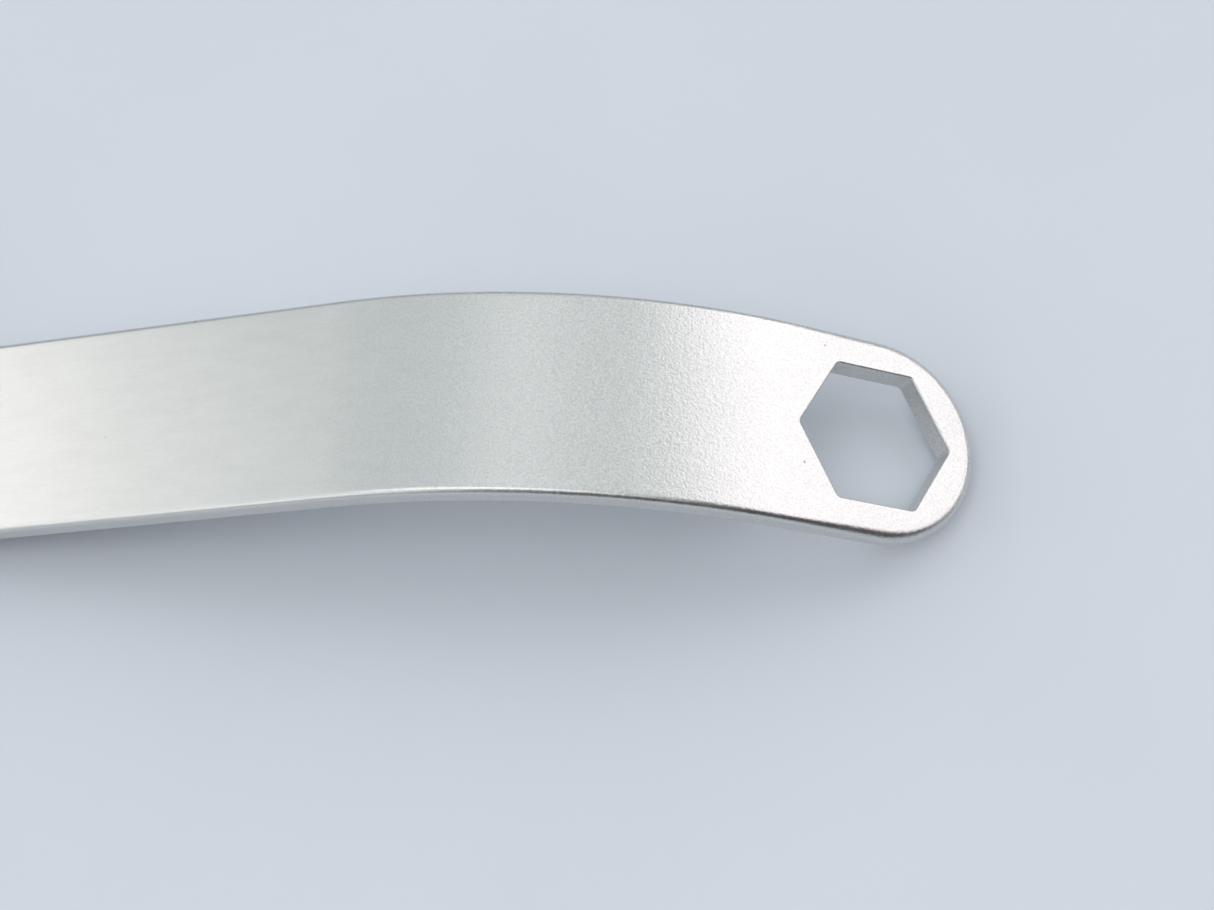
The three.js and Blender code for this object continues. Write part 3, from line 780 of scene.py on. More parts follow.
@dataclass(frozen=True)
class TableTop:
    """A pale laminate table with faint clouds and a fine texture."""

    colour: Colour = (0.745, 0.785, 0.855)
    cloud_shade: float = 0.975
    cloud_frequency: float = 9.0
    cloud_roughness: float = 0.06
    roughness: float = 0.42
    gloss: float = 0.35
    texture_frequency: float = 900.0
    texture_strength: float = 0.04
    texture_depth: float = 0.05 * MM

    def material(self, effects: Effects) -> bpy.types.Material:
        """Makes the material.

        Args:
            effects: The shared effects.

        Returns:
            The finished material.
        """
        made, graph, shader = new_material("table_laminate")
        cloud = effects.place(graph, Effect.SMUDGE, Frequency=self.cloud_frequency)["Mask"]
        tint = graph.blend(cloud, opaque(self.colour), opaque(self.colour, self.cloud_shade))
        graph.feed(shader.inputs["Base Color"], tint)
        rough = graph.maths("MULTIPLY_ADD", cloud, self.cloud_roughness, self.roughness)
        graph.feed(shader.inputs["Roughness"], rough)
        fine = graph.noise(graph.here(), self.texture_frequency, 3.0)
        graph.bump(shader, self.texture_strength, self.texture_depth, fine)
        shader.inputs["Specular IOR Level"].default_value = self.gloss
        return made


BRIGHT_EDGE: Colour = (0.80, 0.80, 0.79)


@dataclass
class Finishes:
    """Every material of the wrench, made once."""

    effects: Effects = field(default_factory=Effects)
    brushed_shares: tuple[float, float] = (0.29, 0.5)

    def __post_init__(self) -> None:
        """Makes the materials."""
        bar_low, bar_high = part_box("handle_bar")
        reach = bar_high.x - bar_low.x
        brushed_from, brushed_to = (bar_high.x - share * reach for share in self.brushed_shares)
        catalogue: dict[str, Finish] = {
            "handle": BlastedSteel("handle_steel", (0.80, 0.795, 0.78), BRIGHT_EDGE, 0.3, 0.28, 0.25, 0.03,
                                   contrast=0.25, pit_share=0.12, strength=1.0, bump_depth=0.075 * MM,
                                   frequency=2400.0, brushed_from=brushed_from, brushed_to=brushed_to),
            "plate": BlastedSteel("plate_steel", (0.79, 0.785, 0.77), BRIGHT_EDGE, 0.34, 0.27, 0.45, 0.05,
                                  contrast=0.2, pit_share=0.08, strength=0.85, frequency=2400.0),
            "hook": BlastedSteel("hook_steel", (0.77, 0.765, 0.75), BRIGHT_EDGE, 0.36, 0.26, 0.6, 0.06,
                                 contrast=0.22, pit_share=0.15, strength=0.9, frequency=2000.0),
            "case": GroundSteel("case_steel", (0.62, 0.625, 0.63), (0.74, 0.74, 0.74), 0.34, 0.26,
                                0.5, 0.06, contrast=0.16, strength=0.4),
            "ring": GroundSteel("ring_steel", (0.2, 0.205, 0.215), (0.52, 0.52, 0.52), 0.36, 0.24,
                                0.8, 0.08, contrast=0.2, frequency=1500.0, strength=0.4),
            "bronze": GroundSteel("bushing_bronze", (0.60, 0.43, 0.2), (0.76, 0.6, 0.36), 0.3, 0.22,
                                  0.5, 0.06),
            "black": BlastedSteel("lever_black_oxide", (0.035, 0.036, 0.04), (0.34, 0.34, 0.35), 0.42, 0.3,
                                  0.85, 0.06, metallic=0.8, frequency=3000.0, strength=0.2),
            "fastener": GroundSteel("fastener_steel", (0.60, 0.60, 0.60), (0.78, 0.78, 0.78), 0.3, 0.2,
                                    0.7, 0.05),
            "spring": GroundSteel("spring_steel", (0.45, 0.45, 0.46), (0.6, 0.6, 0.6), 0.3, 0.2, 0.3, 0.05),
        }
        self.made = {name: finish.material(self.effects) for name, finish in catalogue.items()}

    def paint(self, piece: bpy.types.Object, name: str) -> None:
        """Gives a piece one of the finishes."""
        piece.data.materials.clear()
        piece.data.materials.append(self.made[name])

    def dress(self, piece: bpy.types.Object, name: str, body: str, node: str) -> None:
        """Finishes a piece and makes it stand for a CAD node.

        Args:
            piece: The built piece.
            name: Its finish.
            body: The CAD body it moves with.
            node: The CAD node it stands for.
        """
        self.paint(piece, name)
        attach(piece, body)
        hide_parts(node)
        LOG.info("%s stands for %s on %s", piece.name, node, body)


def levels(node: str) -> Level:
    """The heights of a node's underside and top."""
    low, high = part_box(node)
    return low.z, high.z


# ---- handle -----------------------------------------------------------------------------------


@dataclass
class Handle:
    """The bent flat bar with a round tail and a hexagon through it."""

    width: float = 40 * MM
    thickness: float = 5 * MM
    tail_slope: float = math.radians(26.3)
    rise_slope: float = math.radians(14.2)
    tail_run: float = 38.7 * MM
    crest_radius: float = 118.4 * MM
    neck_radius: float = 60 * MM
    hex_flats: float = 27 * MM
    hex_from_tip: float = 21 * MM
    hex_corner: float = 1.3 * MM
    hex_edge: Rim = Rim(0.3 * MM, 0.3 * MM, 3)
    edge: Rim = Rim(1.2 * MM, 0.7 * MM, 6)
    tail_edge_growth: float = 0.55
    polish: float = 0.003 * MM
    neck_clearance: float = 0.1 * MM
    rivet_hole: float = 3.2 * MM
    rivet_sides: int = 24
    across: int = 10
    tail_steps: int = 64
    lead_steps: int = 5
    row_steps: tuple[int, int, int] = (54, 26, 14)

    def __post_init__(self) -> None:
        """Reads the tip and the bar's end from the frame and lays out the middle line."""
        low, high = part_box("handle_bar")
        self.middle_y = (low.y + high.y) / 2
        half = self.thickness / 2
        lean, rest = half * math.sin(self.tail_slope), half * math.cos(self.tail_slope)
        self.tip = Vector((high.x - lean, low.z + rest))
        flat_height = levels("neck_spacer")[0] - self.neck_clearance - half
        turn = self.tail_slope + self.rise_slope
        drop = self.neck_radius * (1 - math.cos(self.rise_slope))
        crest = (self.crest_radius * turn, -1 / self.crest_radius)
        crest_end = self._walk([(self.tail_run, 0.0), crest], self.tail_run + crest[0])[0]
        rise = (crest_end.y - flat_height - drop) / math.sin(self.rise_slope)
        neck = (self.neck_radius * self.rise_slope, 1 / self.neck_radius)
        self.spans = [(self.tail_run, 0.0), crest, (rise, 0.0), neck]
        self.bent = sum(length for length, _ in self.spans)
        flat_start = self._walk(self.spans, self.bent)[0].x
        self.length = self.bent + flat_start - low.x
        self.spans.append((self.length - self.bent, 0.0))

    def _walk(self, spans: Sequence[tuple[float, float]], distance: float) -> tuple[Vector, float]:
        """Follows the middle line back from the tip.

        Args:
            spans: Lengths and curvatures in order from the tip.
            distance: How far to go.

        Returns:
            The place reached in side view, and the surface's slope there.
        """
        place = self.tip.copy()
        slope = self.tail_slope
        for length, curvature in spans:
            step = min(length, distance)
            if step <= 0:
                break
            if curvature == 0.0:
                place += Vector((-math.cos(slope), math.sin(slope))) * step
            else:
                end = slope + curvature * step
                chord = Vector((math.sin(slope) - math.sin(end), math.cos(slope) - math.cos(end)))
                place += chord / curvature
                slope = end
            distance -= length
        return place, slope

    def place(self, along: float, side: float, out: float) -> Vector:
        """A point of the bar in the frame.

        Args:
            along: Distance back from the tip on the middle line.
            side: Distance across, from the bar's middle.
            out: Height above the middle line, square to the surface.

        Returns:
            The point.
        """
        middle, slope = self._walk(self.spans, along)
        x, height = middle.x + out * math.sin(slope), middle.y + out * math.cos(slope)
        return Vector((x, self.middle_y + side, height))

    def stations(self) -> list[float]:
        """Distances from the tip of the rows of points across the bar, between its two flats.

        Returns:
            The distances, from the tail's flat on.
        """
        rows = [self.tail_run]
        for (length, _), steps in zip(self.spans[1:4], self.row_steps):
            start = rows[-1]
            rows += [start + length * (step + 1) / steps for step in range(steps)]
        return rows

    def sides(self) -> tuple[list[Point], int]:
        """The bar's plan outline from one end of the neck, round the tail, to the other.

        Returns:
            Pairs of distance from the tip and distance across for a bar with no rounding, and how many
            of them lie on the first side.
        """
        radius = self.width / 2
        straight = [self.length, *reversed(self.stations())]
        lead = [self.tail_run + (radius - self.tail_run) * step / self.lead_steps
                for step in range(1, self.lead_steps)]
        first = [(along, radius) for along in straight + lead]
        angles = [math.pi / 2 - math.pi * step / self.tail_steps for step in range(self.tail_steps + 1)]
        tail = [(radius - radius * math.cos(angle), radius * math.sin(angle)) for angle in angles]
        second = [(along, -side) for along, side in reversed(first)]
        return first + tail + second, len(straight)

    def rounded(self, along: float, side: float, step_in: float) -> Point:
        """A plan point moved in from the bar's edge.

        Args:
            along: Distance from the tip.
            side: Distance across.
            step_in: How far the edge moves in.

        Returns:
            The moved point.
        """
        radius = self.width / 2
        if along >= radius:
            return along, math.copysign(radius - step_in, side)
        shrink = (radius - step_in) / radius
        return radius - (radius - along) * shrink, side * shrink

    def body(self) -> bpy.types.Object:
        """Builds the bar's mesh.

        Returns:
            The handle.
        """
        solid = Solid()
        half = self.thickness / 2 - self.polish
        outline, straight_count = self.sides()
        rings = []
        for step_in, out, wear in self.edge.section(-half, half):
            points = []
            for along, side in outline:
                near_tail = min(1.0, max(0.0, (self.tail_run - along) / (self.tail_run - self.width / 2)))
                growth = 1 + self.tail_edge_growth * near_tail
                shown_in = step_in * growth
                shown_out = math.copysign(half - (half - abs(out)) * growth, out)
                points.append(self.place(*self.rounded(along, side, shown_in), shown_out))
            rings.append(solid.ring(points, wear))
        solid.skin(rings, closed=False)
        neck_end = [ring[0] for ring in rings] + [ring[-1] for ring in reversed(rings)]
        solid.cap(neck_end)
        hex_centre = (self.hex_from_tip, 0.0)
        hexagon = rounded_polygon(hex_centre, self.hex_flats / 2, HEXAGON, 0.0, self.hex_corner)
        hex_walls = self._wall(solid, hexagon, self.hex_edge.section(-half, half))
        plain: Section = [(0.0, -half, 0.0), (0.0, half, 0.0)]
        rivet_walls = [self._wall(solid, circle(centre, self.rivet_hole, self.rivet_sides), plain)
                       for centre in self._rivets()]
        for ring, level in ((rings[0], 0), (rings[-1], -1)):
            rivets = [walls[level] for walls in rivet_walls]
            self._face(solid, ring, straight_count, hex_walls[level], rivets)
        return solid.build("handle")

    def _wall(self, solid: Solid, outline: Outline, section: Section) -> list[list[bmesh.types.BMVert]]:
        """Lines a hole through the bar.

        Args:
            solid: The bar's solid.
            outline: The hole in plan.
            section: The shape of its wall.

        Returns:
            The wall's rings from the underside up.
        """
        rings = []
        for step_in, out, wear in section:
            edge = inset(outline, -step_in)
            rings.append(solid.ring([self.place(along, side, out) for along, side in edge], wear))
        solid.skin(rings)
        return rings

    def _rivets(self) -> list[Point]:
        """The rivet holes' centres in plan.

        Returns:
            Pairs of distance from the tip and distance across.
        """
        flat_start = self.place(self.bent, 0.0, 0.0).x
        middles = [sum(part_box(node), Vector()) / 2 for node in RIVETS]
        return [(self.bent + flat_start - middle.x, middle.y - self.middle_y) for middle in middles]

    def _face(self, solid: Solid, ring: list[bmesh.types.BMVert], straight_count: int,
              hexagon: list[bmesh.types.BMVert], rivets: list[list[bmesh.types.BMVert]]) -> None:
        """Covers the top or the underside: a flat tail, rows over the bends and a flat neck.

        Args:
            solid: The bar's solid.
            ring: The face's edge, from one end of the neck, round the tail, to the other.
            straight_count: How many of its points lie on the first side up to the tail's flat.
            hexagon: The hexagon's edge on this face.
            rivets: The rivet holes' edges on this face.
        """
        first = ring[:straight_count]
        second = list(reversed(ring))[:straight_count]
        rows = []
        for one, other in zip(first[1:], second[1:]):
            between = [one.co.lerp(other.co, step / self.across) for step in range(1, self.across)]
            rows.append([one, *solid.ring(between), other])
        solid.skin(rows, closed=False)
        solid.cap([first[0], *rows[0], second[0]], *rivets)
        tail = ring[straight_count - 1:len(ring) - straight_count + 1]
        solid.cap([*tail, *reversed(rows[-1][1:-1])], hexagon)

    def make(self, finishes: Finishes) -> None:
        """Builds and dresses the handle."""
        finishes.dress(self.body(), "handle", "frame", "handle_bar")


# ---- head -------------------------------------------------------------------------------------


@dataclass
class HeadLayout:
    """Places that the head's pieces share, with the socket's axis as their origin."""

    neck_start: float = 78 * MM
    neck_end: float = 114 * MM
    neck_half: float = 20.5 * MM
    neck_corner: float = 7 * MM
    ear_start: float = math.radians(182)
    ear_end: float = math.radians(214)
    ear_flare: float = math.radians(10)
    ear_radius: float = 61 * MM
    ear_shoulder: float = 7 * MM
    ear_rounding: float = math.radians(6)
    ear_overlap: float = 5 * MM
    head_steps: int = 300
    corner_steps: int = 8
    coupling_radius: float = 47 * MM
    coupling_angle: float = math.radians(240)

    def __post_init__(self) -> None:
        """Reads the socket's axis and the heights of the stack from the frame."""
        low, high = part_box("drive_ring")
        self.axis: Point = ((low.x + high.x) / 2, (low.y + high.y) / 2)
        self.lower, self.upper = levels("lower_side_plate"), levels("upper_side_plate")
        self.case = levels("gear_case")
        self.plate_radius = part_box("upper_side_plate")[1].y - self.axis[1]
        self.coupling = polar(self.plate_radius + self.coupling_radius, self.coupling_angle)

    def centre_of(self, node: str) -> Point:
        """A node's middle in plan, from the socket's axis."""
        low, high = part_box(node)
        return (low.x + high.x) / 2 - self.axis[0], (low.y + high.y) / 2 - self.axis[1]

    def round_holes(self, nodes: Iterable[str], radius: float, level: Level) -> list[Hole]:
        """A plain hole for each of some nodes."""
        return [self.round_hole(self.centre_of(node), radius, level) for node in nodes]

    def shifted(self, outline: Outline) -> Outline:
        """An outline about the socket's axis, in the frame."""
        return [(x + self.axis[0], y + self.axis[1]) for x, y in outline]

    def middle_of(self, node: str) -> Point:
        """A node's middle in plan, in the frame."""
        return self.shifted([self.centre_of(node)])[0]

    def round_hole(self, centre: Point, radius: float, level: Level, lip: float = 0.2 * MM,
                   steps: int = 32) -> Hole:
        """A plain hole with broken edges."""
        return self.shifted(circle(centre, radius, steps)), Rim(lip, LIP_BAND, 2).section(*level)

    def clear_of_coupling(self, reach: float, angle: float) -> float:
        """A reach cut back to the coupling's circle where the ray at that angle meets it."""
        hits = circle_hits(self.coupling, self.coupling_radius, angle)
        return min(reach, hits[0]) if hits else reach

    def neck_corners(self, end: float, low: float, high: float) -> Outline:
        """The neck's two rounded corners, from its low side to its high one.

        Args:
            end: Where the neck ends along the handle.
            low: Its low side across.
            high: Its high side across.

        Returns:
            The corners' points.
        """
        round_by, quarter = self.neck_corner, math.pi / 2
        first = arc((end - round_by, low + round_by), round_by, -quarter, 0.0, self.corner_steps)
        return first + arc((end - round_by, high - round_by), round_by, 0.0, quarter, self.corner_steps)

    def ear_edge(self, inner: float, flare: float) -> Outline:
        """The hook ear's edge from its far flank to its near one.

        Args:
            inner: Where its flanks start, from the socket's axis.
            flare: How far the flanks spread there.

        Returns:
            The edge's points.
        """
        outer = self.ear_radius
        shoulder = outer - self.ear_shoulder
        start, end = self.ear_start + self.ear_rounding, self.ear_end - self.ear_rounding
        far = [polar(reach, self.ear_start) for reach in (shoulder, outer)]
        near = [polar(reach, self.ear_end) for reach in (outer, shoulder)]
        path = [polar(inner, self.ear_start - flare)]
        path += leaning_curve(*far, polar(outer, start))
        path += arc((0.0, 0.0), outer, start, end, self.corner_steps)[1:-1]
        path += leaning_curve(polar(outer, end), *near)
        path.append(polar(inner, self.ear_end + flare))
        return path

    def head(self, margin: float, neck_end: float | None, with_ear: bool) -> Outline:
        """The head's outline about the socket's axis.

        Args:
            margin: How far it lies inside the side plates' outline.
            neck_end: Where the rounded neck ends, or None for one cut off square.
            with_ear: Whether it has the hook's ear.

        Returns:
            The counter-clockwise outline.
        """
        radius = self.plate_radius - margin
        half = self.neck_half - margin
        tangent = math.atan2(half, self.neck_start) + math.acos(radius / math.hypot(self.neck_start, half))
        points: Outline = [(self.neck_start, -half)]
        if neck_end is not None:
            points += self.neck_corners(neck_end, -half, half)
        points.append((self.neck_start, half))
        ear = self.ear_edge(self.plate_radius - self.ear_overlap, self.ear_flare) if with_ear else []
        for step in range(self.head_steps + 1):
            angle = tangent + (TURN - 2 * tangent) * step / self.head_steps
            reach = max(radius, ray_hit(ear, angle))
            points.append(polar(self.clear_of_coupling(reach, angle) if with_ear else reach, angle))
        return points


@dataclass
class SidePlates:
    """The two plates that clamp the gear case, the hook and the handle between them."""

    layout: HeadLayout
    edge: Rim = Rim(0.6 * MM, 0.5 * MM, 4)
    bore: float = 28.1 * MM
    pin_hole: float = 2.7 * MM
    foot_hole: float = 3.3 * MM
    stem_hole: float = 4.7 * MM
    fit: float = 0.2 * MM
    lip: float = 0.2 * MM
    bore_lip: float = 0.3 * MM
    shank_lip: float = 0.15 * MM
    cone_lip: float = 0.12 * MM
    cone_land: float = 0.04 * MM
    bore_sides: int = 120
    pin_sides: int = 48
    hole_sides: int = 40

    def _sunk_hole(self, centre: Point, size: "FastenerSize", level: Level, up: bool) -> Hole:
        """A hole with a cone for a sunk head.

        Args:
            centre: The hole's middle from the socket's axis.
            size: The fastener's sizes.
            level: The plate's faces.
            up: Whether the cone opens upwards.

        Returns:
            The hole's outline and the shape of its wall.
        """
        low, high = level
        growth = size.head - size.shank
        section = [(self.lip, low, 0.4), (0.0, low + self.lip, 0.0), (0.0, high - size.sink, 0.0),
                   (growth, high - self.cone_land, 0.4), (growth + self.cone_lip, high, 0.8)]
        if not up:
            section = [(step_in, low + high - height, wear) for step_in, height, wear in reversed(section)]
        return self.layout.shifted(circle(centre, size.shank + self.fit, self.hole_sides)), section

    def plate(self, name: str, level: Level, upper: bool) -> bpy.types.Object:
        """Builds one plate.

        Args:
            name: The plate's name.
            level: Its faces' heights.
            upper: Whether it is the upper plate.

        Returns:
            The plate.
        """
        layout = self.layout
        pins = (("pawl_pin", self.pin_hole), ("selector_stem", self.stem_hole if upper else self.foot_hole))
        holes = [layout.round_hole((0.0, 0.0), self.bore, level, self.bore_lip, self.bore_sides)]
        holes += [layout.round_hole(layout.centre_of(node), radius, level, self.lip, self.pin_sides)
                  for node, radius in pins]
        for node, size in Fasteners.catalogue().items():
            centre = layout.centre_of(node)
            if size.sunk_both_ends or upper:
                holes.append(self._sunk_hole(centre, size, level, upper))
            else:
                radius = size.shank + self.fit
                holes.append(layout.round_hole(centre, radius, level, self.shank_lip, self.hole_sides))
        outline = layout.shifted(layout.head(0.0, layout.neck_end, True))
        return extruded(outline, self.edge.section(*level), holes).build(name)

    def make(self, finishes: Finishes) -> None:
        """Builds and dresses both plates.

        Args:
            finishes: The finishes to dress it with.
        """
        for name, level, upper in (("lower_side_plate", self.layout.lower, False),
                                   ("upper_side_plate", self.layout.upper, True)):
            finishes.dress(self.plate(f"{name}_looks", level, upper), "plate", "frame", name)


@dataclass
class GearCase:
    """The core of the head: the ring's bore, the pawl's pocket and the selector's bore."""

    layout: HeadLayout
    margin: float = 1 * MM
    bore: float = 33.2 * MM
    stem_bore: float = 6.8 * MM
    edge: Rim = Rim(0.35 * MM, 0.4 * MM, 3)
    screw_hole: float = 1.8 * MM
    rivet_hole: float = 3.2 * MM
    pocket: tuple[Point, ...] = ((24, 20), (31, 22.5), (43, 22.5), (53, 16.5), (57, 11), (57, 8), (62, 6))
    cavity_steps: int = 480

    def cavity(self) -> Outline:
        """The opening through the case: a round bore that runs into the pocket and the selector's bore.

        Returns:
            The opening's outline about the socket's axis.
        """
        upper = [(x * MM, y * MM) for x, y in self.pocket]
        path = [(x, -y) for x, y in upper] + list(reversed(upper))
        stem = self.layout.centre_of("selector_stem")
        points: Outline = []
        for step in range(self.cavity_steps):
            angle = -math.pi + TURN * step / self.cavity_steps
            reach = max(self.bore, ray_hit(path, angle))
            hits = circle_hits(stem, self.stem_bore, angle)
            points.append(polar(max(reach, hits[1]) if hits else reach, angle))
        return points

    def make(self, finishes: Finishes) -> None:
        """Builds and dresses the case and the spacer behind it.

        Args:
            finishes: The finishes to dress it with.
        """
        layout = self.layout
        holes = [(layout.shifted(self.cavity()), Rim(LIP_BAND, LIP_BAND, 2).section(*layout.case))]
        holes += layout.round_holes(HEAD_SCREWS, self.screw_hole, layout.case)
        outline = layout.shifted(layout.head(self.margin, None, False))
        case = extruded(outline, self.edge.section(*layout.case), holes).build("gear_case_looks")
        finishes.dress(case, "case", "frame", "gear_case")
        finishes.dress(self.spacer(), "case", "frame", "neck_spacer")

    def spacer(self) -> bpy.types.Object:
        """Builds the block that fills the neck above the bar.

        Returns:
            The spacer.
        """
        layout = self.layout
        low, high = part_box("neck_spacer")
        level = (low.z, high.z)
        outline = [(low.x, low.y), *layout.neck_corners(high.x, low.y, high.y), (low.x, high.y)]
        holes = layout.round_holes(RIVETS, self.rivet_hole, level)
        return extruded(outline, self.edge.section(*level), holes).build("neck_spacer_looks")


@dataclass
class SpannerHook:
    """The claw that hooks a coupling, on a root held between the plates' ears."""

    layout: HeadLayout
    root_gap: float = 0.4 * MM
    root_edge: Rim = Rim(0.5 * MM, 0.4 * MM, 3)
    claw_edge: Rim = Rim(1.8 * MM, 0.8 * MM, 6)
    claw_thickness: float = 10 * MM
    claw_depth: float = 14 * MM
    back_shift: float = 3 * MM
    nib_depth: float = 5.5 * MM
    inside_span: tuple[float, float] = (math.radians(97), math.radians(164))
    nib_span: tuple[float, float] = (math.radians(167), math.radians(172))
    back_span: tuple[float, float] = (math.radians(174), math.radians(98))
    back_bearing: float = math.radians(100)
    tip_bearing: float = math.radians(182)
    inside_steps: int = 20
    back_steps: int = 26
    tip_steps: int = 12
    least_root: float = 1 * MM
    root_steps: int = 64
    screw_hole: float = 3.2 * MM

    def claw(self) -> Outline:
        """The claw's outline: an inner arc, a nib and a tapering back.

        Returns:
            The outline about the socket's axis.
        """
        centre = self.layout.coupling
        inner = self.layout.coupling_radius
        back = polar(self.back_shift, self.back_bearing, centre)
        back_radius = inner + self.claw_depth - self.back_shift
        inside = arc(centre, inner, *self.inside_span, self.inside_steps)
        nib, nib_end = (polar(inner - self.nib_depth, angle, centre) for angle in self.nib_span)
        outside = arc(back, back_radius, *self.back_span, self.back_steps)
        tip = leaning_curve(nib_end, polar(inner, self.tip_bearing, centre), outside[0], self.tip_steps)
        return list(reversed([*inside, nib, *tip, *outside[1:]]))

    def root(self) -> Outline:
        """The root's outline, trimmed to the coupling's circle.

        Returns:
            The outline about the socket's axis.
        """
        layout = self.layout
        inner = layout.plate_radius + self.root_gap
        edge = layout.ear_edge(inner, 0.0)
        points: Outline = []
        for step in range(self.root_steps + 1):
            angle = layout.ear_start + (layout.ear_end - layout.ear_start) * step / self.root_steps
            outer = layout.clear_of_coupling(ray_hit(edge, angle), angle)
            if outer > inner + self.least_root:
                points.append(polar(outer, angle))
        return points + arc((0.0, 0.0), inner, layout.ear_end, layout.ear_start, 24)

    def make(self, finishes: Finishes) -> None:
        """Builds the claw onto the root and dresses the hook.

        Args:
            finishes: The finishes to dress it with.
        """
        layout = self.layout
        middle = sum(layout.case) / 2
        holes = layout.round_holes(HOOK_SCREWS, self.screw_hole, layout.case)
        root = extruded(layout.shifted(self.root()), self.root_edge.section(*layout.case), holes)
        claw_level = (middle - self.claw_thickness / 2, middle + self.claw_thickness / 2)
        claw = extruded(layout.shifted(self.claw()), self.claw_edge.section(*claw_level))
        hook = root.build("spanner_hook_looks")
        join(hook, claw.build("claw"))
        finishes.dress(hook, "hook", "frame", "spanner_hook")


def join(piece: bpy.types.Object, other: bpy.types.Object) -> None:
    """Fuses another piece into this one and removes it.

    Args:
        piece: The piece that stays.
        other: The piece that it takes in.
    """
    piece.modifiers.clear()
    other.modifiers.clear()
    fuse = piece.modifiers.new("fuse", "BOOLEAN")
    fuse.operation = "UNION"
    fuse.solver = "EXACT"
    fuse.object = other
    graph = bpy.context.evaluated_depsgraph_get()
    fused = bpy.data.meshes.new_from_object(piece.evaluated_get(graph))
    piece.modifiers.clear()
    piece.data = fused
    bpy.data.objects.remove(other)
    smooth(piece)


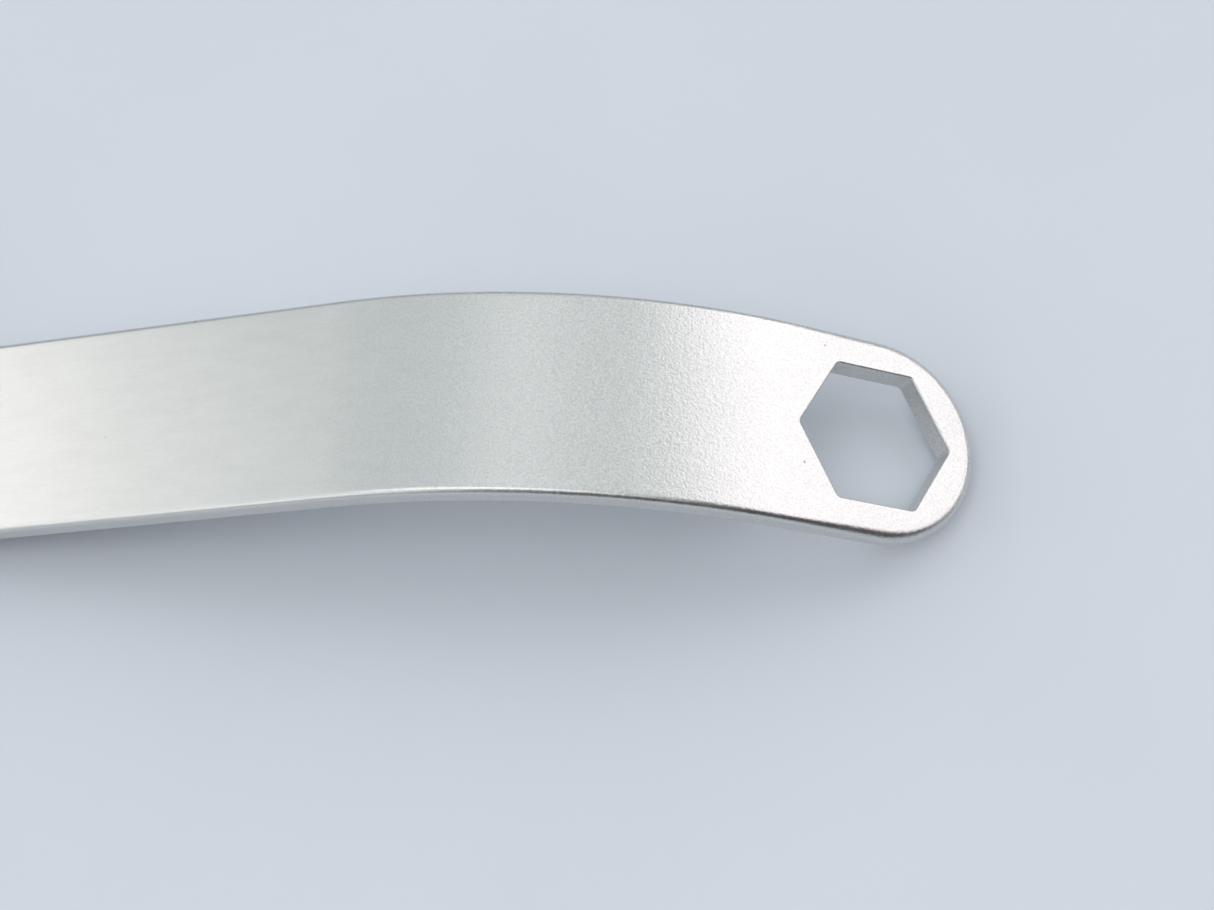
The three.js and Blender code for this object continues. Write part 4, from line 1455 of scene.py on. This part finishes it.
@dataclass
class RatchetRing:
    """The ring with teeth outside and the pentagon socket inside, and its two bushings."""

    layout: HeadLayout
    sides: int = 360
    teeth: int = 24
    tooth_tip: float = 32.4 * MM
    tooth_root: float = 28.8 * MM
    tooth_land: float = 1.6 * MM
    hub: float = 25.5 * MM
    point_to_flat: float = 39.7 * MM
    corner_rounding: float = 1.2 * MM
    lead_land: float = 0.6 * MM
    lead_depth: float = 4 * MM
    lead_steps: int = 12
    edge: float = 0.35 * MM
    lip: float = 0.25 * MM
    side_gap: float = 0.3 * MM
    bush_inner: float = 25.8 * MM
    bush_outer: float = 27.9 * MM
    bush_edge: Rim = Rim(0.25 * MM, 0.25 * MM, 2)
    bush_sides: int = 120

    def tooth(self, angle: float) -> float:
        """How far the toothed rim reaches at an angle.

        Args:
            angle: The direction from the ring's axis.

        Returns:
            The distance from the axis.
        """
        pitch = TURN / self.teeth
        off = abs((angle + pitch / 2) % pitch - pitch / 2)
        tip = self.tooth_land / 2 / self.tooth_tip
        foot = pitch / 2 - self.tooth_land / 2 / self.tooth_root
        share = min(1.0, max(0.0, (off - tip) / (foot - tip)))
        return self.tooth_tip + (self.tooth_root - self.tooth_tip) * share

    def pentagon(self, angle: float) -> float:
        """How far the socket's wall lies from its axis at an angle, with rounded corners.

        Args:
            angle: The direction from the ring's axis.

        Returns:
            The distance from the axis.
        """
        half = math.pi / 5
        apothem = self.point_to_flat / (1 + 1 / math.cos(half))
        off = abs((angle - math.pi + half) % (2 * half) - half)
        from_flat = half - off
        if apothem * math.tan(from_flat) <= (apothem - self.corner_rounding) * math.tan(half):
            return apothem / math.cos(from_flat)
        reach = (apothem - self.corner_rounding) / math.cos(half)
        rounding = math.sqrt(max(0.0, self.corner_rounding ** 2 - (reach * math.sin(off)) ** 2))
        return reach * math.cos(off) + rounding

    def _outside(self, face: float, land: float, inward: int) -> list[Row]:
        """Rows from one face of the ring, down its hub and out to the teeth.

        Args:
            face: The face's height.
            land: The height of the teeth's near side.
            inward: 1 from the lower face, -1 from the upper one.

        Returns:
            The rows in order.
        """
        edge, lip = self.edge, self.lip
        profile = [(edge + lip, face, 0.1), (edge, face, 0.9),
                   (0.0, face + inward * edge, 0.9), (0.0, land, 0.1)]
        rows: list[Row] = [(lambda angle, step_in=step_in: self.hub - step_in, height, wear)
                           for step_in, height, wear in profile]
        rows += [(lambda angle: self.tooth(angle) - lip, land, 0.3), (self.tooth, land + inward * lip, 0.6)]
        return rows

    def _inside(self, face: float, inward: int) -> list[Row]:
        """Rows from one face of the ring down the socket's lead-in cone.

        Args:
            face: The face's height.
            inward: 1 from the lower face, -1 from the upper one.

        Returns:
            The rows in order.
        """
        mouth = self.point_to_flat / (1 + math.cos(math.pi / 5)) - self.lead_land
        rows = [(self._lead(mouth + 2 * self.lip), face, 0.1), (self._lead(mouth + self.lip), face, 1.0)]
        for step in range(self.lead_steps + 1):
            drop = self.lead_depth * step / self.lead_steps
            height = face + inward * (self.lip + drop)
            rows.append((self._lead(mouth - drop), height, 0.25 if step else 0.5))
        return rows

    def _lead(self, cone: float) -> Reach:
        """The socket's wall where the lead-in cone has this radius."""
        return lambda angle: max(self.pentagon(angle), cone)

    def ring(self) -> bpy.types.Object:
        """Builds the drive ring as one closed strip, out over the teeth and back through the socket.

        Returns:
            The drive ring.
        """
        low, high = levels("drive_ring")
        tooth_low, tooth_high = self.layout.case[0] + self.side_gap, self.layout.case[1] - self.side_gap
        rows = [*self._outside(low, tooth_low, 1), *reversed(self._outside(high, tooth_high, -1)),
                *self._inside(high, -1), (self.pentagon, (low + high) / 2, 0.15),
                *reversed(self._inside(low, 1))]
        solid = Solid()
        angles = [TURN * step / self.sides for step in range(self.sides)]
        rings = []
        for reach, height, wear in rows:
            places = self.layout.shifted([polar(reach(angle), angle) for angle in angles])
            rings.append(solid.ring([(x, y, height) for x, y in places], wear))
        solid.skin([*rings, rings[0]])
        return solid.build("drive_ring_looks")

    def make(self, finishes: Finishes) -> None:
        """Builds and dresses the ring and its bushings.

        Args:
            finishes: The finishes to dress it with.
        """
        finishes.dress(self.ring(), "ring", "ring", "drive_ring")
        bore, outline = (self.layout.shifted(circle((0.0, 0.0), radius, self.bush_sides))
                         for radius in (self.bush_inner, self.bush_outer))
        for name in ("lower_bushing", "upper_bushing"):
            section = self.bush_edge.section(*levels(name))
            piece = extruded(outline, section, [(bore, section)]).build(f"{name}_looks")
            finishes.dress(piece, "bronze", "frame", name)


# ---- selector and pawl ----------------------------------------------------------------------------


@dataclass
class Selector:
    """The thumb lever on its stem, and the pieces inside the case that it works."""

    layout: HeadLayout
    hub: float = 8 * MM
    tab_half: float = 3.4 * MM
    tab_length: float = 18 * MM
    spread: float = math.radians(52)
    square: float = 3.1 * MM
    square_rounding: float = 0.4 * MM
    edge: Rim = Rim(0.7 * MM, 0.4 * MM, 4)
    hub_steps: int = 48
    tab_steps: int = 20
    inner_edge: float = 0.15 * MM
    inner_angle: float = math.radians(40)

    def lever(self) -> bpy.types.Object:
        """Builds the lever, with its square hole.

        Returns:
            The lever.
        """
        level = levels("selector_lever")
        stem = self.layout.centre_of("selector_stem")
        hub = arc(stem, self.hub, self.spread, TURN - self.spread, self.hub_steps)
        tab_centre = (stem[0] + self.tab_length - self.tab_half, stem[1])
        tab = arc(tab_centre, self.tab_half, -math.pi / 2, math.pi / 2, self.tab_steps)
        square = rounded_polygon(stem, self.square, 4, math.pi / 4, self.square_rounding, 3)
        hole = (self.layout.shifted(square), Rim(LIP_BAND, LIP_BAND, 2).section(*level))
        outline = self.layout.shifted(hub + tab)
        return extruded(outline, self.edge.section(*level), [hole]).build("thumb_lever")

    def make(self, finishes: Finishes) -> None:
        """Builds the lever and dresses the CAD pieces that stay as they are.

        Args:
            finishes: The finishes to dress it with.
        """
        finishes.dress(self.lever(), "black", "selector", "selector_lever")
        for node, finish in (("pawl", "ring"), ("selector_stem", "ring"), ("plunger", "fastener"),
                             ("plunger_spring", "spring")):
            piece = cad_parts[node]
            finishes.paint(piece, finish)
            if node != "plunger_spring":
                bevel = piece.modifiers.new("broken_edges", "BEVEL")
                bevel.width = self.inner_edge
                bevel.segments = 2
                bevel.limit_method = "ANGLE"
                bevel.angle_limit = self.inner_angle
            LOG.info("%s keeps its CAD shape", node)


# ---- fasteners --------------------------------------------------------------------------------------


@dataclass(frozen=True)
class FastenerSize:
    """The sizes of a screw or rivet."""

    shank: float
    head: float
    sink: float
    key: Key | None
    sunk_both_ends: bool = False


@dataclass
class Fasteners:
    """Screws, rivets and the pawl's pin."""

    layout: HeadLayout
    edge: float = 0.12 * MM
    crown: float = 0.9 * MM
    keyed_crown: float = 0.35 * MM
    foot: float = 0.3 * MM
    button_shank: float = 1.6 * MM
    button_head: float = 5.2 * MM
    button_lip: float = 0.2 * MM
    button_land: float = 0.5 * MM
    button_seat: float = 0.1 * MM
    button_flat: float = 0.42
    button_sides: int = 64
    dome_steps: int = 6
    dome_angle: float = math.radians(12)
    button_key: Key = Key(1 * MM, 1.3 * MM)
    pin_radius: float = 2.5 * MM
    pin_chamfer: float = 0.4 * MM

    @staticmethod
    def catalogue() -> dict[str, FastenerSize]:
        """Each sunk fastener's sizes by node.

        Returns:
            The sizes by node.
        """
        head_screw = FastenerSize(1.6 * MM, 3 * MM, 1.6 * MM, Key(1 * MM, 1.2 * MM))
        hook_screw = FastenerSize(3 * MM, 5.6 * MM, 3 * MM, Key(2 * MM, 2.3 * MM))
        rivet = FastenerSize(3 * MM, 4.8 * MM, 1.8 * MM, None, True)
        groups = ((HEAD_SCREWS, head_screw), (HOOK_SCREWS, hook_screw), (RIVETS, rivet))
        return {node: size for nodes, size in groups for node in nodes}

    def sunk(self, node: str, size: FastenerSize) -> bpy.types.Object:
        """Builds a sunk screw or a flush rivet.

        Args:
            node: The CAD node it stands for.
            size: Its sizes.

        Returns:
            The fastener.
        """
        low, high = levels(node)
        edge, land, crown = self.edge, self.edge / 2, self.crown
        rim = size.head - edge
        foot: Section = [(size.shank - self.foot, low, 0.3), (size.shank, low + self.foot, 0.3)]
        if size.sunk_both_ends:
            foot = [(size.head - crown, low, 0.4), (rim, low + land, 0.9), (rim, low + edge, 0.5),
                    (size.shank, low + size.sink, 0.0)]
        head: Section = [(size.shank, high - size.sink, 0.0), (rim, high - edge, 0.5),
                         (rim, high - land, 0.9), (size.head - crown, high, 0.4)]
        if size.key is not None:
            head[-1] = (size.head - self.keyed_crown, high, 0.6)
        return turned(self.layout.middle_of(node), foot + head, size.key).build(f"{node}_looks")

    def button(self) -> bpy.types.Object:
        """Builds the lever's button-head screw.

        Returns:
            The screw.
        """
        low, high = levels("selector_screw")
        seat = levels("selector_lever")[1] + self.button_seat
        shank, head = self.button_shank, self.button_head
        lip, land = self.button_lip, self.button_land
        angles = [self.dome_angle * step for step in range(self.dome_steps)]
        dome = [(head * math.cos(angle), seat + land + (high - seat - land) * math.sin(angle), 0.5)
                for angle in angles]
        section: Section = [(shank, low, 0.2), (shank, seat, 0.0), (head - lip, seat, 0.4),
                            (head, seat + lip, 0.9), *dome, (head * self.button_flat, high, 0.5)]
        centre = self.layout.middle_of("selector_screw")
        return turned(centre, section, self.button_key, self.button_sides).build("lever_screw")

    def pin(self) -> bpy.types.Object:
        """Builds the pawl's pin.

        Returns:
            The pin.
        """
        low, high = levels("pawl_pin")
        radius, chamfer = self.pin_radius, self.pin_chamfer
        section: Section = [(radius - chamfer, low, 0.5), (radius, low + chamfer, 0.8),
                            (radius, high - chamfer, 0.8), (radius - chamfer, high, 0.5)]
        return turned(self.layout.middle_of("pawl_pin"), section).build("pawl_pin_looks")

    def make(self, finishes: Finishes) -> None:
        """Builds and dresses every fastener.

        Args:
            finishes: The finishes to dress it with.
        """
        for node, size in self.catalogue().items():
            finishes.dress(self.sunk(node, size), "fastener", "frame", node)
        finishes.dress(self.button(), "fastener", "selector", "selector_screw")
        finishes.dress(self.pin(), "fastener", "frame", "pawl_pin")


# ---- studio -----------------------------------------------------------------------------------------


@dataclass(frozen=True)
class Softbox:
    """A rectangular light panel that faces the crest of the handle."""

    name: str
    bearing: float
    height: float
    spread: tuple[float, float]
    glow: float
    colour: Colour = (1.0, 1.0, 1.0)
    distance: float = 2.2

    def hang(self, target: Vector) -> bpy.types.Object:
        """Hangs the panel.

        Args:
            target: The point that it faces.

        Returns:
            The lamp.
        """
        data = bpy.data.lights.new(self.name, "AREA")
        data.shape = "RECTANGLE"
        halves = (math.radians(angle) / 2 for angle in self.spread)
        data.size, data.size_y = (2 * self.distance * math.tan(half) for half in halves)
        data.energy = self.glow * math.pi * data.size * data.size_y
        data.color = self.colour
        lamp = put_in_scene(self.name, data)
        level, up = math.radians(self.bearing), math.radians(self.height)
        away = Vector((math.cos(level) * math.cos(up), math.sin(level) * math.cos(up), math.sin(up)))
        lamp.location = target + away * self.distance
        lamp.rotation_euler = (-away).to_track_quat("-Z", "Y").to_euler()
        return lamp


@dataclass
class Studio:
    """Table, lights and camera round the tail of the handle."""

    camera_from_tip: Vector = field(default_factory=lambda: Vector((-33.35, -154.1, 354.26)) * MM)
    aim_from_tip: Vector = field(default_factory=lambda: Vector((-69.87, 1.96)) * MM)
    roll: float = math.radians(11.877)
    lens: float = 60.3
    sky: Colour = (0.84, 0.93, 0.94)
    sky_strength: float = 0.77
    unlit_side: Vector = field(default_factory=lambda: Vector((0.58, -0.67, 0.46)).normalized())
    unlit_strength: float = 0.06
    unlit_fade: tuple[float, float] = (0.5, 0.78)
    horizon_share: float = 0.32
    horizon_top: float = 0.5
    crest_from_tip: Vector = field(default_factory=lambda: Vector((-80, 0, 25)) * MM)
    table_half: float = 4.0
    nearest_seen: float = 0.01
    softboxes: tuple[Softbox, ...] = (
        Softbox("tail_softbox", 25, 34, (54, 36), 1.15, (1.0, 0.9, 0.93)),
        Softbox("neck_softbox", 177, 22, (52, 25), 2.0, (1.0, 0.91, 0.9)),
        Softbox("crest_softbox", 95, 66, (15, 16), 0.75, (1.0, 0.93, 0.97)),
        Softbox("side_softbox", 232, 24, (30, 30), 0.7, (1.0, 0.98, 0.95)),
        Softbox("front_softbox", 262, 70, (50, 30), 1.3, (1.0, 0.98, 0.98)),
    )

    def __post_init__(self) -> None:
        """Reads the tail's tip from the frame."""
        low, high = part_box("handle_bar")
        top = low.z + Handle.thickness * math.cos(Handle.tail_slope)
        self.tip = Vector((high.x, (low.y + high.y) / 2, top))

    def table(self, finishes: Finishes) -> None:
        """Lays the table under the wrench.

        Args:
            finishes: The finishes to dress it with.
        """
        grid = bmesh.new()
        bmesh.ops.create_grid(grid, x_segments=8, y_segments=8, size=self.table_half)
        data = bpy.data.meshes.new("table")
        grid.to_mesh(data)
        grid.free()
        data.materials.append(TableTop().material(finishes.effects))
        table = put_in_scene("table", data)

    def lights(self) -> None:
        """Hangs the softboxes and sets a pale sky that is dim on the side away from them."""
        for box in self.softboxes:
            box.hang(self.tip + self.crest_from_tip)
        world = bpy.data.worlds.new("studio")
        world.use_nodes = True
        graph = Graph(world.node_tree)
        background = world.node_tree.nodes["Background"]
        background.inputs["Color"].default_value = opaque(self.sky)
        way = graph.add("ShaderNodeTexCoord").outputs["Generated"]
        facing = graph.add("ShaderNodeVectorMath", {0: way, 1: self.unlit_side}, operation="DOT_PRODUCT")
        strengths = (self.sky_strength, self.unlit_strength)
        share = graph.remap(facing.outputs["Value"], *self.unlit_fade, *strengths)
        height = graph.add("ShaderNodeSeparateXYZ", {0: way}).outputs["Z"]
        rising = graph.remap(height, 0.0, self.horizon_top, self.horizon_share)
        graph.feed(background.inputs["Strength"], graph.maths("MULTIPLY", share, rising))
        bpy.context.scene.world = world

    def camera(self) -> None:
        """Sets the camera over the tail."""
        data = bpy.data.cameras.new("camera")
        data.lens = self.lens
        data.clip_start = self.nearest_seen
        camera = put_in_scene("camera", data)
        camera.location = self.tip + self.camera_from_tip
        aim = Vector((self.tip.x + self.aim_from_tip.x, self.tip.y + self.aim_from_tip.y, 0.0))
        facing = (aim - camera.location).to_track_quat("-Z", "Y")
        camera.rotation_mode = "QUATERNION"
        camera.rotation_quaternion = facing @ Quaternion((0.0, 0.0, 1.0), -self.roll)
        bpy.context.scene.camera = camera

    def make(self, finishes: Finishes) -> None:
        """Sets the whole studio.

        Args:
            finishes: The finishes, for the table's.
        """
        self.table(finishes)
        self.lights()
        self.camera()
        bpy.context.scene.view_settings.view_transform = "Standard"
        LOG.info("studio with %d softboxes", len(self.softboxes))


def main() -> None:
    """Builds the wrench's looks piece by piece."""
    logging.basicConfig(level=logging.INFO, format="%(name)s: %(message)s")
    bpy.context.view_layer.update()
    finishes = Finishes()
    layout = HeadLayout()
    head = [kind(layout) for kind in (SidePlates, GearCase, SpannerHook, RatchetRing, Selector, Fasteners)]
    for assembly in (Handle(), *head, Studio()):
        LOG.info("building %s", type(assembly).__name__)
        assembly.make(finishes)


if __name__ == "__main__":
    main()
